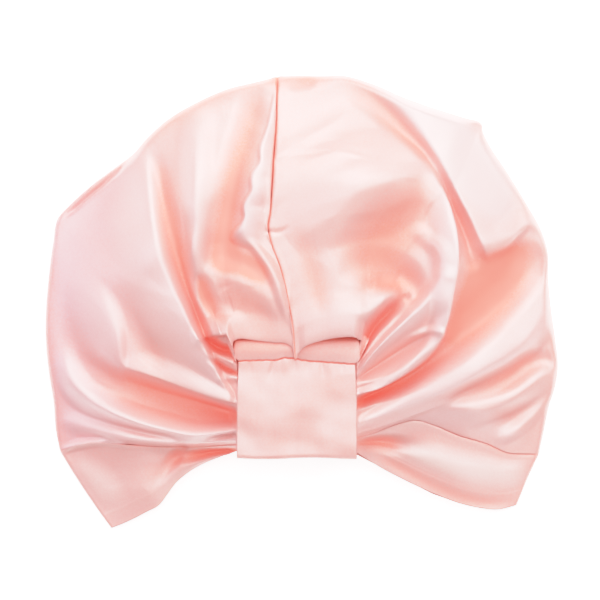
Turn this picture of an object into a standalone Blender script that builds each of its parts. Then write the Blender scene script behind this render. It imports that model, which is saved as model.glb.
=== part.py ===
"""A satin hair turban lying on its back, as it was laid out flat.

Two crown panels meet at the centre seam, a brim strip on each side hems the face opening, and a loop
band gathers the front. X runs across the turban, Y from the hem to the crown, Z up from the table.
Each panel is one sheet: it comes out of the loop band, spreads over the front, turns round the side
fold and returns under the back to the centre line. Run in Blender 4.5.
"""

import math

import bmesh
import bpy
import numpy as np

# Driving sizes, in metres
CAP_WIDTH = 0.296
CAP_LENGTH = 0.262
LOFT = 0.050
CLOTH = 0.0012
SEAM_GAP = 0.0007
BAND_WIDTH = 0.0672
BAND_LENGTH = 0.0680
BAND_DEPTH = 0.019
BAND_CLOTH = 0.0016
BAND_ROUND = 0.0055
BAND_CLEARANCE = 0.0006
HEAD_ROOM = 0.0145
SIDE_FOLD_ROOM = 0.0022
SEAM_DIP = 0.0009
SEAM_DIP_REACH = 0.0045

# Where the band sits: its middle as a share of the cap's width, its foot as a share of its length
BAND_CENTRE = -0.009
BAND_FOOT = 0.163

# Mesh density: columns across a sheet, rows along it
CROWN_COLUMNS = 54
BRIM_COLUMNS = 6
FRONT_ROWS = 13
TURN_ROWS = 2
CROWN_BACK_ROWS = 3
BRIM_BACK_ROWS = 10
BAND_COLUMNS = 10
BAND_CORNER_STEPS = 4
EDGE_CROWDING = 0.4

# Satin: linear RGB, roughness
SATIN = (0.86, 0.50, 0.45, 1.0)
SATIN_ROUGHNESS = 0.32

# Spokes run from inside the band (gather), past its edge (lip), to the cap's outline (x, y). u and v
# are shares of the band: u is -1 and 1 at its sides, v is 0 at its foot and 1 at its top. x is in
# hundredths of CAP_WIDTH from the middle and y in hundredths of CAP_LENGTH from the hem. lip_z, rise
# and plateau are in hundredths of LOFT, run in hundredths of CAP_WIDTH.
SPOKE_COLUMNS = ("gather_u", "gather_v", "lip_u", "lip_v", "lip_z", "x", "y", "rise", "run", "plateau")
BRIM_LEFT_SPOKES = (
    (-0.78, 0.065, -1.0, 0.050, 50, -37.2, 0.0, 9.2, 0.9, 14),
    (-0.78, 0.078, -1.0, 0.068, 50, -40.0, 4.3, 9.4, 1.0, 20),
    (-0.78, 0.092, -1.0, 0.087, 50, -44.0, 11.0, 9.6, 1.1, 22),
)
LEFT_SEAM_SPOKE = ((-0.78, 0.105, -1.0, 0.105, 51, -47.2, 16.9, 10, 1.2, 25),)
CROWN_LEFT_SPOKES = (
    (-0.78, 0.150, -1.0, 0.150, 54, -48.0, 21.5, 12, 1.6, 34),
    (-0.78, 0.190, -1.0, 0.190, 56, -48.4, 27.5, 15, 1.9, 40),
    (-0.78, 0.240, -1.0, 0.240, 58, -49.3, 34.0, 17, 2.0, 44),
    (-0.78, 0.300, -1.0, 0.300, 60, -49.9, 41.0, 18, 2.0, 48),
    (-0.78, 0.360, -1.0, 0.360, 62, -49.9, 48.0, 18, 2.0, 50),
    (-0.78, 0.420, -1.0, 0.420, 63, -49.4, 55.0, 18, 2.0, 52),
    (-0.78, 0.480, -1.0, 0.480, 64, -48.5, 63.0, 18, 2.0, 54),
    (-0.78, 0.540, -1.0, 0.540, 64, -47.5, 68.6, 16, 1.8, 56),
    (-0.78, 0.600, -1.0, 0.600, 64, -45.4, 71.2, 15, 1.8, 58),
    (-0.78, 0.660, -1.0, 0.660, 64, -41.0, 75.7, 17, 1.9, 62),
    (-0.78, 0.710, -1.0, 0.710, 64, -36.0, 79.9, 21, 2.2, 66),
    (-0.80, 0.760, -1.0, 0.760, 64, -33.0, 82.4, 28, 2.6, 70),
    (-1.16, 0.860, -1.10, 0.840, 60, -30.0, 86.2, 32, 2.9, 73),
    (-1.16, 1.000, -1.12, 0.980, 60, -26.2, 90.0, 34, 3.0, 75),
    (-0.98, 1.060, -0.98, 1.020, 60, -20.0, 94.1, 36, 3.1, 77),
    (-0.70, 1.045, -0.70, 1.010, 60, -14.0, 97.0, 36, 3.1, 79),
    (-0.40, 0.980, -0.40, 0.945, 60, -10.0, 98.1, 36, 3.1, 80),
    (-0.16, 0.910, -0.16, 0.880, 60, -7.0, 98.9, 36, 3.1, 80),
)
CENTRE_SPOKE = ((-0.03, 0.900, -0.03, 0.870, 60, -4.7, 99.6, 36, 3.0, 80),)
RIGHT_SEAM_SPOKE = ((0.78, 0.165, 1.0, 0.160, 52, 46.3, 16.3, 12, 1.4, 24),)
CROWN_RIGHT_SPOKES = (
    (0.78, 0.205, 1.0, 0.205, 55, 47.3, 21.5, 15, 1.7, 32),
    (0.78, 0.250, 1.0, 0.250, 58, 48.3, 27.0, 18, 2.0, 40),
    (0.78, 0.305, 1.0, 0.305, 60, 49.4, 31.0, 20, 2.1, 46),
    (0.78, 0.360, 1.0, 0.360, 62, 50.0, 35.5, 21, 2.1, 50),
    (0.78, 0.415, 1.0, 0.415, 63, 49.5, 41.5, 22, 2.2, 54),
    (0.78, 0.470, 1.0, 0.470, 64, 48.7, 48.0, 23, 2.3, 56),
    (0.78, 0.525, 1.0, 0.525, 64, 48.1, 55.0, 24, 2.3, 58),
    (0.78, 0.580, 1.0, 0.580, 64, 48.0, 61.0, 24, 2.3, 58),
    (0.78, 0.630, 1.0, 0.630, 64, 47.0, 64.9, 24, 2.3, 60),
    (0.78, 0.680, 1.0, 0.680, 64, 44.0, 71.3, 22, 2.1, 62),
    (0.78, 0.720, 1.0, 0.720, 64, 40.0, 78.7, 22, 2.1, 64),
    (0.79, 0.755, 1.0, 0.755, 64, 36.2, 85.4, 22, 2.0, 64),
    (0.80, 0.780, 1.0, 0.780, 64, 35.1, 88.4, 20, 1.8, 64),
    (1.14, 0.840, 1.08, 0.820, 62, 33.0, 90.2, 22, 2.0, 66),
    (1.16, 0.890, 1.11, 0.870, 60, 28.0, 91.9, 25, 2.3, 70),
    (1.16, 1.000, 1.12, 0.985, 60, 20.0, 95.0, 28, 2.5, 74),
    (0.96, 1.060, 0.96, 1.025, 60, 14.0, 97.9, 30, 2.7, 78),
    (0.60, 1.030, 0.60, 0.995, 60, 8.0, 99.8, 32, 2.8, 80),
    (0.35, 0.965, 0.35, 0.932, 60, 3.6, 99.7, 34, 2.9, 80),
    (0.10, 0.905, 0.10, 0.875, 60, -0.6, 99.8, 35, 3.0, 80),
)
BRIM_RIGHT_SPOKES = (
    (0.78, 0.065, 1.0, 0.045, 48, 42.0, 5.2, 9.2, 0.9, 14),
    (0.78, 0.095, 1.0, 0.080, 49, 43.0, 7.9, 10, 1.1, 18),
    (0.78, 0.125, 1.0, 0.115, 50, 44.0, 10.6, 11, 1.2, 20),
)

# How far each free or sewn edge bends from the straight line between its lip and the outline: share
# of the way along, then x in hundredths of CAP_WIDTH and y in hundredths of CAP_LENGTH
BEND_COLUMNS = ("along", "x", "y")
CENTRE_BEND = (
    (0, 0, 0), (0.09, -0.1, 0), (0.18, -0.5, 0), (0.25, -1.0, 0), (0.32, -1.9, 0), (0.37, -2.8, 0),
    (0.42, -3.4, 0), (0.45, -3.5, 0), (0.50, -2.9, 0), (0.60, -2.2, 0), (0.70, -1.6, 0),
    (0.82, -0.7, 0), (1, 0, 0),
)
LEFT_SEAM_BEND = (
    (0, 0, 0), (0.11, 0, -0.3), (0.22, 0, -0.4), (0.45, 0, 0.2), (0.68, 0, 1.3), (0.82, 0, 1.8),
    (0.91, 0, 1.2), (1, 0, 0),
)
RIGHT_SEAM_BEND = (
    (0, 0, 0), (0.09, 0, 1.1), (0.21, 0, 3.4), (0.32, 0, 4.9), (0.42, 0, 4.2), (0.55, 0, 2.5),
    (0.71, 0, 1.2), (0.82, 0, -0.3), (0.91, 0, -0.2), (1, 0, 0),
)
LEFT_HEM_BEND = (
    (0, 0, 0), (0.15, 0, 0.8), (0.31, 0, 1.6), (0.41, 0, 1.6), (0.49, 0, 1.0), (0.55, 0, -0.2),
    (0.61, 0, -1.4), (0.71, 0, -1.3), (0.87, 0, -0.8), (1, 0, 0),
)
RIGHT_HEM_BEND = (
    (0, 0, 0), (0.11, 0, -1.6), (0.30, 0, -3.0), (0.49, 0, -3.8), (0.62, 0, -4.0), (0.75, 0, -3.6),
    (0.89, 0, -2.3), (1, 0, 0),
)

# How far the back's hem bends from the straight line between the outline and the middle of the back:
# on the left it lies hidden behind the front's hem, on the right just below it
LEFT_BACK_HEM_BEND = (
    (0, 0, 0), (0.14, 0, 0), (0.26, 0, 1.2), (0.33, 0, 3.6), (0.42, 0, 4.9), (0.55, 0, 5.4),
    (0.70, 0, 5.2), (0.85, 0, 2.8), (1, 0, 0),
)
RIGHT_BACK_HEM_BEND = (
    (0, 0, 0), (0.09, 0, -2.0), (0.19, 0, -3.1), (0.26, 0, -3.2), (0.31, 0, -3.1), (0.42, 0, -2.3),
    (0.53, 0, -0.9), (0.64, 0, 0.5), (0.73, 0, 1.8), (0.84, 0, 1.6), (1, 0, 0),
)

# The straight line down the middle of the back: where the hem, the brim seam and the crown panels'
# fan end on it, in hundredths of CAP_WIDTH and CAP_LENGTH
BACK_HEM = (-0.9, 18.0)
BACK_SEAM = (-1.6, 31.0)
BACK_CROWN = (-3.2, 66.0)

# Folds of the front: how far each reaches to the left and right of its path, in hundredths of
# CAP_WIDTH, and the path's points, x and y in hundredths of the cap, height in hundredths of LOFT
FOLD_COLUMNS = ("left", "right", "path")
FOLDS = {
    "lapel_crest": (3.2, 11.0, (
        (-12.6, 28.8, 4), (-15.5, 33, 12), (-18.8, 40.5, 18), (-22.5, 48.5, 20), (-26.8, 57, 16),
        (-29.5, 66, 12), (-31.3, 77, 7), (-32, 84, 0),
    )),
    "lapel_valley": (1.6, 3.4, (
        (-27.5, 80, 0), (-25.5, 72, -6), (-23, 64, -14), (-21.7, 57, -26), (-20.8, 51, -36),
        (-19.8, 46, -34), (-18.6, 42, -26), (-16.5, 40.2, -24), (-14, 39, -22),
    )),
    "lapel_hem": (0.9, 8.0, (
        (-34, 39, 0), (-33.2, 35.6, 6), (-30, 34.8, 10), (-24, 32.2, 14), (-18, 30.0, 14),
        (-12.5, 28.0, 6),
    )),
    "left_hollow": (2.2, 6.0, (
        (-12.6, 25.6, -16), (-20, 27.6, -24), (-27, 30, -20), (-33, 32.8, -14), (-39, 35.5, -8),
        (-44, 42, -4), (-46, 50, 0),
    )),
    "left_roll": (2.4, 6.0, (
        (-12.5, 21, 8), (-20, 20.8, 14), (-26, 21.2, 16), (-32, 22.2, 15), (-38, 24.4, 12),
        (-43, 29.5, 9), (-46.5, 37, 5), (-47.5, 46, 0),
    )),
    "left_roll_step": (0.8, 0.9, (
        (-12.5, 20, 4), (-20, 19.4, 5), (-28, 19.8, 5), (-36, 21, 3), (-44, 22.6, 0),
    )),
    "streak": (3.4, 3.8, (
        (-8.2, 98, 0), (-9.8, 91, -8), (-11.5, 84, -12), (-13, 77, -14), (-15, 70, -16),
        (-16.4, 64, -14), (-17.0, 58, -8), (-17.5, 54, 0),
    )),
    "pouch_valley": (1.9, 4.5, (
        (-17, 62, -4), (-13.5, 60.2, -12), (-10, 58.2, -16), (-7.3, 55.7, -12), (-5.8, 52, -6),
        (-5.2, 48.5, 0),
    )),
    "seam_tip": (1.8, 1.5, (
        (-6.8, 65.6, 2), (-9, 65, 8), (-11.6, 64.2, 11), (-13.6, 63.8, 0),
    )),
    "seam_ridge_left": (2.6, 2.2, (
        (-6, 92, 0), (-7.2, 82, 4), (-8.6, 75, 7), (-10.2, 68.5, 8), (-11.6, 64, 4),
    )),
    "pouch_left": (6.0, 4.0, (
        (-18.5, 46, 0), (-15, 45.8, 8), (-10, 46.3, 12), (-5, 45.6, 9), (-2, 44, 3),
    )),
    "pocket_fold": (1.0, 1.3, (
        (-18.4, 40, 4), (-16, 38.6, 10), (-13, 36.4, 10),
    )),
    "pocket_crease": (0.7, 0.8, (
        (-17.5, 38.2, -4), (-15, 36.6, -12), (-12.4, 35, -12),
    )),
    "left_shoulder": (1.6, 5.0, (
        (-33.6, 38, 3), (-33.8, 42.5, 6), (-35, 46.5, 5), (-40, 51.5, 4), (-45, 59, 0),
    )),
    "brim_crevice_left": (2.4, 1.0, (
        (-31, 17, 0), (-24, 16.2, -3), (-18, 16.4, -6), (-12.3, 17.6, -6),
    )),
    "brim_valley_left": (1.8, 1.8, (
        (-29, 10, 0), (-26, 12.8, -5), (-24, 15.8, -8), (-22.8, 18, -6),
    )),
    "brim_crease_left": (0.8, 1.4, (
        (-47.3, 17.4, 3), (-44, 18.9, 5), (-40, 19.6, 5), (-36, 19.4, 0),
    )),
    "side_lap": (0.6, 1.2, (
        (-46.6, 68.6, 0), (-45.4, 69.4, -7), (-42, 72.9, -9), (-38, 76.7, -9), (-34.6, 80.1, -7),
        (-33.2, 82.3, 0),
    )),
    "right_fold_crest": (2.4, 8.0, (
        (10, 98, 0), (15, 95, 5), (19.5, 91.3, 9), (23.6, 86.4, 13), (26.6, 81, 17), (29, 76, 18),
        (31.4, 71, 16), (33.4, 66.4, 10), (36, 62.5, 0),
    )),
    "right_crevice": (2.6, 1.6, (
        (21, 83.5, 0), (24, 80.8, -12), (26.3, 77, -20), (28.3, 72.4, -24), (30, 67, -22),
        (30.8, 61, -20), (30.5, 54, -20), (29.4, 47, -20), (28.1, 42, -18), (25.4, 38, -18),
        (22, 35, -18), (18, 32, -20), (14, 29.9, -20), (10.6, 28.4, -14),
    )),
    "middle_fold": (2.0, 4.6, (
        (10.4, 35.2, 4), (12.6, 37.2, 10), (16, 40.6, 14), (20.5, 44.8, 15), (25, 49.6, 14),
        (28, 54.6, 13), (28.7, 61, 12), (28, 68, 10), (26, 75, 6), (24, 82, 0),
    )),
    "back_slope": (3.0, 9.0, (
        (3, 65.8, 0), (4.6, 67.4, -3), (8, 70.6, -7), (13, 73.2, -10), (19, 76.2, -13),
        (24.4, 80.2, -14),
    )),
    "saddle": (3.6, 3.6, (
        (5, 62.6, 0), (10, 62.6, 4), (18, 62.8, 5), (25, 64.5, 4), (27, 66, 0),
    )),
    "bowl": (4.2, 3.2, (
        (11.5, 55.8, 0), (15, 55.6, -7), (19, 54.8, -11), (22, 52.6, -6), (23, 51, 0),
    )),
    "bowl_rim": (1.0, 1.0, (
        (15, 60.2, 0), (19.5, 59.8, 3), (22.6, 58, 4), (24.3, 55.6, 3), (24, 52.5, 0),
    )),
    "pouch_right": (6.0, 4.6, (
        (-0.5, 44.5, 3), (3, 46.6, 8), (8, 48, 12), (13, 49, 11), (17, 50.4, 3),
    )),
    "pouch_drop": (0.9, 2.6, (
        (10.5, 37, -8), (11.6, 39, -16), (13.2, 41.8, -24), (15.4, 45, -22), (17.8, 48.6, -12),
        (19.6, 52, 0),
    )),
    "side_fold_step": (1.0, 1.8, (
        (10.5, 33.6, -6), (13.5, 35.6, -9), (17, 38.4, -9), (21, 41.4, -6), (25.5, 44, 0),
    )),
    "side_fold": (2.2, 1.6, (
        (10.5, 31.6, 5), (13, 32.2, 8), (17, 33.6, 9), (21, 36, 9), (24.5, 38.8, 7), (27, 42, 4),
        (27.6, 45, 0),
    )),
    "right_roll": (2.6, 9.0, (
        (46.8, 58, 0), (46.2, 50, 6), (44, 43, 9), (40, 38, 11), (34, 34.2, 13), (28, 30.8, 14),
        (22, 27.8, 14), (16, 25.2, 12), (10.7, 23.4, 6),
    )),
    "right_hollow": (1.8, 4.2, (
        (10.7, 20.6, -8), (16, 22.0, -10), (21, 23.8, -9), (26, 26.6, -8), (31, 29.6, -10),
        (36, 31.6, -12), (40, 34, -12), (43.5, 37.6, -10), (46.5, 38.4, -6), (49, 36.5, 0),
    )),
    "lower_ridge": (3.0, 2.4, (
        (49, 35.6, 0), (46.5, 34.6, 5), (43, 31.6, 7), (38.5, 28.4, 7), (34, 26.8, 5), (29, 27.2, 2),
        (25, 26, 0),
    )),
    "lower_dip": (3.4, 3.4, (
        (33, 21.6, 0), (37, 23.4, -4), (42, 25.4, -5), (47, 28.6, 0),
    )),
    "under_roll_right": (1.6, 3.4, (
        (11, 18.4, -4), (14, 18.6, -6), (17.5, 17.4, -5), (21, 16, -2), (25, 14.6, 0),
    )),
    "top_dimple": (1.6, 1.6, (
        (-3.2, 97.4, 0), (-1, 97.2, -4), (1.2, 97.8, -5), (3, 99, 0),
    )),
    "seam_pinch": (0.7, 0.8, (
        (-6.4, 64.9, -3), (-4.2, 64.8, -3), (-2.2, 66, 0),
    )),
    "faint_streak": (2.0, 2.0, (
        (0.6, 67, 0), (1.8, 61, -3), (3.6, 55, -4), (4.6, 49.5, 0),
    )),
}
FOLD_SAMPLES = 8

# The loop band's top edge dips under the overhanging crown: share of its length, share of its half
# width that the dip reaches, and the share of the length that stays straight below it
BAND_DIP = 0.145
BAND_DIP_REACH = 0.80
BAND_STRAIGHT = 0.80
BAND_SEAM_V = 0.815
BAND_SEAM_REACH = 0.035
BAND_SEAM_PINCH = 0.0006
BAND_CUTS = (0.25, 0.5, 0.78, 0.8, 0.815, 0.83, 0.85)

# Shape of the sheets: widths are shares of CAP_WIDTH
SHOULDER = 0.075
SWELL_REACH = 0.45
FOLD_END = 0.03
NARROWEST_FOLD = 0.38
SPREAD_REACH = 0.26
HELD_REACH = 0.02
GATHERED_SHARE = 0.4
BAND_SLOPE = 1.6
CEILING_RISE = 0.35
EDGE_BLEND = 3.0
BACK_BLEND = 1.5
ROW_EASE = 0.45
EASE_PASSES = 2


def smooth_steps(values):
    """Eases values from 0 to 1, flat at both ends."""
    held = np.clip(values, 0.0, 1.0)
    return held * held * (3.0 - 2.0 * held)


def smooth_curve(stations, knots, places):
    """Reads a smooth curve with the given knots at its stations, at new places along it."""
    slopes = np.gradient(knots, stations, axis=0)
    places = np.clip(places, stations[0], stations[-1])
    leg = np.clip(np.searchsorted(stations, places, side="right") - 1, 0, len(stations) - 2)
    span = (stations[leg + 1] - stations[leg])[..., None]
    share = (places - stations[leg])[..., None] / span
    start, end = knots[leg], knots[leg + 1]
    leave, arrive = slopes[leg] * span, slopes[leg + 1] * span
    square, cube = share**2, share**3
    from_start = start * (2 * cube - 3 * square + 1) + leave * (cube - 2 * square + share)
    to_end = end * (3 * square - 2 * cube) + arrive * (cube - square)
    return from_start + to_end


def stations_of(track):
    """Share of a track's length at which each of its points lies."""
    legs = np.linalg.norm(np.diff(track, axis=0), axis=1)
    stations = np.concatenate([[0.0], np.cumsum(legs)])
    return stations / stations[-1]


def in_cap(points):
    """Turns hundredths of the cap into metres, with the origin under the middle of the cap."""
    table = np.asarray(points, float)
    x = table[..., 0] / 100 * CAP_WIDTH
    y = (table[..., 1] / 100 - 0.5) * CAP_LENGTH
    return np.stack([x, y], axis=-1)


def band_foot():
    """Y of the loop band's foot."""
    return (BAND_FOOT - 0.5) * CAP_LENGTH


def band_top():
    """Height of the loop band's front face above the table."""
    return HEAD_ROOM + BAND_DEPTH


def band_stretch(u, v):
    """Share of the band's length at v, where its top edge dips in the middle."""
    dip = BAND_DIP * (1 - smooth_steps(np.abs(u) / BAND_DIP_REACH))
    return v - dip * smooth_steps((v - BAND_STRAIGHT) / (1 - BAND_STRAIGHT))


def in_band(u, v):
    """Turns shares of the band into metres; a place beside the band keeps its clearance."""
    aside = np.sign(u) * BAND_CLEARANCE * (np.abs(u) >= 1.0)
    x = BAND_CENTRE * CAP_WIDTH + u * BAND_WIDTH / 2 + aside
    return np.stack([x, band_foot() + v * BAND_LENGTH], axis=-1)


def fold_height(x, y):
    """Height that the folds add at each point; they narrow towards the band."""
    height = np.zeros_like(x)
    beside = np.abs(x - BAND_CENTRE * CAP_WIDTH) - BAND_WIDTH / 2
    above = y - band_foot() - BAND_LENGTH
    away = np.maximum(np.maximum(beside, above), 0.0)
    opened = smooth_steps(away / (SPREAD_REACH * CAP_WIDTH))
    spread = NARROWEST_FOLD + (1 - NARROWEST_FOLD) * opened
    for row in FOLDS.values():
        fold = dict(zip(FOLD_COLUMNS, row))
        points = np.asarray(fold["path"], float)
        places = np.linspace(0, 1, FOLD_SAMPLES * (len(points) - 1) + 1)
        line = smooth_curve(stations_of(points[:, :2]), points, places)
        track = in_cap(line[:, :2])
        crest = line[:, 2] / 100 * LOFT
        nearest = np.full(x.shape, np.inf)
        offset = np.zeros_like(x)
        level = np.zeros_like(x)
        for start, end, low, high in zip(track[:-1], track[1:], crest[:-1], crest[1:]):
            leg = end - start
            from_x, from_y = x - start[0], y - start[1]
            share = np.clip((from_x * leg[0] + from_y * leg[1]) / (leg @ leg), 0.0, 1.0)
            distance = np.hypot(from_x - share * leg[0], from_y - share * leg[1])
            side = np.where(leg[0] * from_y - leg[1] * from_x > 0, 1.0, -1.0)
            nearer = distance < nearest
            nearest = np.where(nearer, distance, nearest)
            offset = np.where(nearer, side * distance, offset)
            level = np.where(nearer, low + share * (high - low), level)
        reach = np.where(offset > 0, fold["left"], fold["right"]) / 100 * CAP_WIDTH * spread
        height += level * smooth_steps(1 - np.abs(offset) / reach)
    return height


def band_limits(y):
    """Lowest and highest outer face of cloth that passes inside the loop band, at each y."""
    bottom = band_foot() + BAND_CLOTH
    top = band_foot() + BAND_LENGTH - BAND_CLOTH
    corner = BAND_ROUND - BAND_CLOTH
    inset = np.clip(np.minimum(y - bottom, top - y), 0.0, corner)
    lost = corner - np.sqrt(corner**2 - (corner - inset) ** 2)
    low = HEAD_ROOM + BAND_CLOTH + lost + CLOTH + BAND_CLEARANCE
    high = band_top() - BAND_CLOTH - lost - BAND_CLEARANCE
    return low, high


def read_spokes(spokes, columns):
    """Reads the spoke table at evenly eased places along the outline, as arrays in metres."""
    field = dict(zip(SPOKE_COLUMNS, np.asarray(spokes, float).T))
    rim = in_cap(np.column_stack([field["x"], field["y"]]))
    gather = in_band(field["gather_u"], field["gather_v"])
    lip = in_band(field["lip_u"], field["lip_v"])
    heights = np.column_stack([field["lip_z"], field["rise"], field["plateau"]]) / 100 * LOFT
    run = field["run"] / 100 * CAP_WIDTH
    knots = np.column_stack([rim, gather, lip, heights, run])
    even = np.linspace(0, 1, columns + 1)
    place = even - EDGE_CROWDING * np.sin(2 * math.pi * even) / (2 * math.pi)
    read = smooth_curve(stations_of(rim), knots, place)
    return {
        "place": place, "rim": read[:, 0:2], "gather": read[:, 2:4], "lip": read[:, 4:6],
        "lip_z": read[:, 6], "rise": read[:, 7], "plateau": read[:, 8], "run": read[:, 9],
    }


def bend_at(bend, out):
    """Offset of an edge from its straight line, at shares of the way out."""
    field = dict(zip(BEND_COLUMNS, np.asarray(bend, float).T))
    offset = smooth_curve(field["along"], np.column_stack([field["x"], field["y"]]), out)
    return offset / 100 * np.array([CAP_WIDTH, CAP_LENGTH])


def front_plan(spoke, out, low_bend, high_bend):
    """Plan of the front of a sheet as rows by columns, with its two edges bent to their lines."""
    straight = spoke["lip"][None] + out[..., None] * (spoke["rim"] - spoke["lip"])[None]
    low_pull = ((1 - spoke["place"]) ** EDGE_BLEND)[None, :, None]
    high_pull = (spoke["place"] ** EDGE_BLEND)[None, :, None]
    bent_low = low_pull * bend_at(low_bend, out[:, 0])[:, None]
    bent_high = high_pull * bend_at(high_bend, out[:, -1])[:, None]
    return straight + bent_low + bent_high


def front_height(spoke, plan, out):
    """Height of the front's outer face: a loft between the band and the side fold, plus the folds."""
    reach = np.linalg.norm(spoke["rim"] - spoke["lip"], axis=1)[None, :]
    run = spoke["run"][None, :]
    rise = spoke["rise"][None, :]
    inside = (1 - out) * reach
    outside = out * reach
    edge = np.sqrt(1 - (1 - np.clip(inside / run, 0, 1)) ** 2)
    middle = np.minimum(rise / 2, SIDE_FOLD_ROOM)
    swell = smooth_steps(inside / (SWELL_REACH * reach))
    dome = middle + (rise - middle) * edge + (spoke["plateau"][None, :] - rise) * swell
    near = np.clip(outside / (SHOULDER * CAP_WIDTH), 0, 1)
    lift = np.sqrt(1 - (1 - near) ** 2)
    lip_z = spoke["lip_z"][None, :]
    settle = smooth_steps(inside / (FOLD_END * CAP_WIDTH))
    loose = GATHERED_SHARE + (1 - GATHERED_SHARE) * smooth_steps(outside / (HELD_REACH * CAP_WIDTH))
    folds = fold_height(plan[..., 0], plan[..., 1]) * settle * loose
    height = lip_z + (dome - lip_z) * lift + folds
    beside = np.abs(spoke["lip"][:, 0] - BAND_CENTRE * CAP_WIDTH) >= BAND_WIDTH / 2
    low, high = band_limits(plan[..., 1])
    ceiling = high + BAND_SLOPE * outside + CEILING_RISE * LOFT * lift
    floor = low * (1 - smooth_steps(outside / (HELD_REACH * CAP_WIDTH)))
    height = np.where(beside[None, :], np.clip(height, floor, np.maximum(ceiling, floor)), height)
    least = middle + (2 * CLOTH + SIDE_FOLD_ROOM - middle) * edge
    height = np.where(inside > 0, np.maximum(height, least), height)
    for _ in range(EASE_PASSES):
        beside_it = (height[:, :-2] + height[:, 2:]) / 2
        height[:, 1:-1] = (height[:, 1:-1] + beside_it) / 2
    return height


def outward(sheet, side):
    """Unit normals of a sheet's outer face at each of its points."""
    along_rows = np.gradient(sheet, axis=0)
    along_columns = np.gradient(sheet, axis=1)
    normal = side * np.cross(along_rows, along_columns)
    return normal / np.linalg.norm(normal, axis=2)[..., None]


def dip_edge(sheet, column, direction, side):
    """Turns the edge of a sheet down into its seam and pulls it back by half the seam's gap."""
    edge = sheet[:, column].copy()
    away = np.linalg.norm(sheet - edge[:, None], axis=2)
    dip = SEAM_DIP * np.clip(1 - away / SEAM_DIP_REACH, 0, 1) ** 2
    sheet -= outward(sheet, side) * dip[..., None]
    course = np.gradient(edge[:, :2], axis=0)
    course /= np.linalg.norm(course, axis=1)[:, None]
    sheet[:, column, :2] += direction * np.column_stack([-course[:, 1], course[:, 0]]) * SEAM_GAP / 2


def sheet_points(spokes, columns, bends, back, side, sewn):
    """Points of one sheet as rows by columns: out of the band, over the front and back underneath.

    bends are the lines of the low and high edges, back is as back_points takes it, side is -1 for the
    left panels and 1 for the right, sewn says which edges are in a seam.
    """
    spoke = read_spokes(spokes, columns)
    reach = np.linalg.norm(spoke["rim"] - spoke["lip"], axis=1)
    run_share = spoke["run"] / reach
    steps = np.linspace(0, 1, FRONT_ROWS + 1)
    eased = steps * (1 - ROW_EASE + ROW_EASE * steps)
    turned = np.sin(np.linspace(0, math.pi / 2, TURN_ROWS + 1)[1:])
    out = np.vstack([eased[:, None] * (1 - run_share), 1 - run_share * (1 - turned)[:, None]])
    plan = front_plan(spoke, out, *bends)
    front = np.dstack([plan, front_height(spoke, plan, out)])
    for column, direction, in_seam in ((0, side, sewn[0]), (-1, -side, sewn[1])):
        if in_seam:
            dip_edge(front, column, direction, side)
    half_way = np.full(columns + 1, HEAD_ROOM + BAND_DEPTH / 2)
    gather = spoke["gather"] + front[0, :, :2] - spoke["lip"]
    tuck = np.column_stack([gather, np.minimum(front[0, :, 2], half_way)])
    return np.vstack([tuck[None], front, back_points(spoke, front[-1], back, side, sewn)])


def back_points(spoke, rim, back, side, sewn):
    """Points of a sheet from the side fold down to the table and along it to the centre line.

    back holds the sheet's two ends on the centre line, the bend of its hem, which is None where the
    sheet is sewn on both sides, and the number of rows.
    """
    start_on_line, end_on_line, hem_bend, row_count = back
    start, end = in_cap((start_on_line, end_on_line))
    place = spoke["place"][:, None]
    line = start + place * (end - start)
    line[:, 0] += side * SEAM_GAP / 2
    across = (end - start) / np.linalg.norm(end - start)
    if sewn[0]:
        line[0] += across * SEAM_GAP / 2
    else:
        line[-1] -= across * SEAM_GAP / 2
    under = np.linalg.norm(line - rim[:, :2], axis=1)
    rows = []
    for angle in np.linspace(0, math.pi / 2, TURN_ROWS + 1)[1:]:
        share = spoke["run"] * (1 - math.cos(angle)) / under
        plan = rim[:, :2] + share[:, None] * (line - rim[:, :2])
        rows.append(np.column_stack([plan, rim[:, 2] * (1 - math.sin(angle))]))
    landed = spoke["run"] / under
    for step in np.linspace(0, 1, row_count + 1)[1:]:
        share = landed + step * (1 - landed)
        plan = rim[:, :2] + share[:, None] * (line - rim[:, :2])
        if hem_bend:
            plan += (1 - place) ** BACK_BLEND * bend_at(hem_bend, share[:1])
        rows.append(np.column_stack([plan, np.zeros(len(share))]))
    return np.stack(rows)


def satin(name):
    """Makes the satin material of one piece."""
    material = bpy.data.materials.new(name)
    material.use_nodes = True
    shader = material.node_tree.nodes["Principled BSDF"]
    shader.inputs["Base Color"].default_value = SATIN
    shader.inputs["Roughness"].default_value = SATIN_ROUGHNESS
    shader.inputs["Metallic"].default_value = 0.0
    return material


def sheet_cloth(points, flip):
    """Lays a grid over rows by columns of points, with its faces turned outwards."""
    rows, columns = points.shape[:2]
    cloth = bmesh.new()
    bmesh.ops.create_grid(cloth, x_segments=columns - 1, y_segments=rows - 1, size=0.5)
    for vertex in cloth.verts:
        column = round((vertex.co.x + 0.5) * (columns - 1))
        row = round((vertex.co.y + 0.5) * (rows - 1))
        vertex.co = points[row, column]
    if flip:
        bmesh.ops.reverse_faces(cloth, faces=cloth.faces)
    return cloth


def cloth_object(name, cloth, thickness, collection):
    """Makes an object of a sheet and gives it its thickness inwards."""
    mesh = bpy.data.meshes.new(name)
    cloth.to_mesh(mesh)
    cloth.free()
    mesh.shade_smooth()
    mesh.materials.append(satin(name + "_satin"))
    item = bpy.data.objects.new(name, mesh)
    wall = item.modifiers.new("Wall", "SOLIDIFY")
    wall.thickness = thickness
    wall.offset = -1.0
    collection.objects.link(item)
    return item


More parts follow.
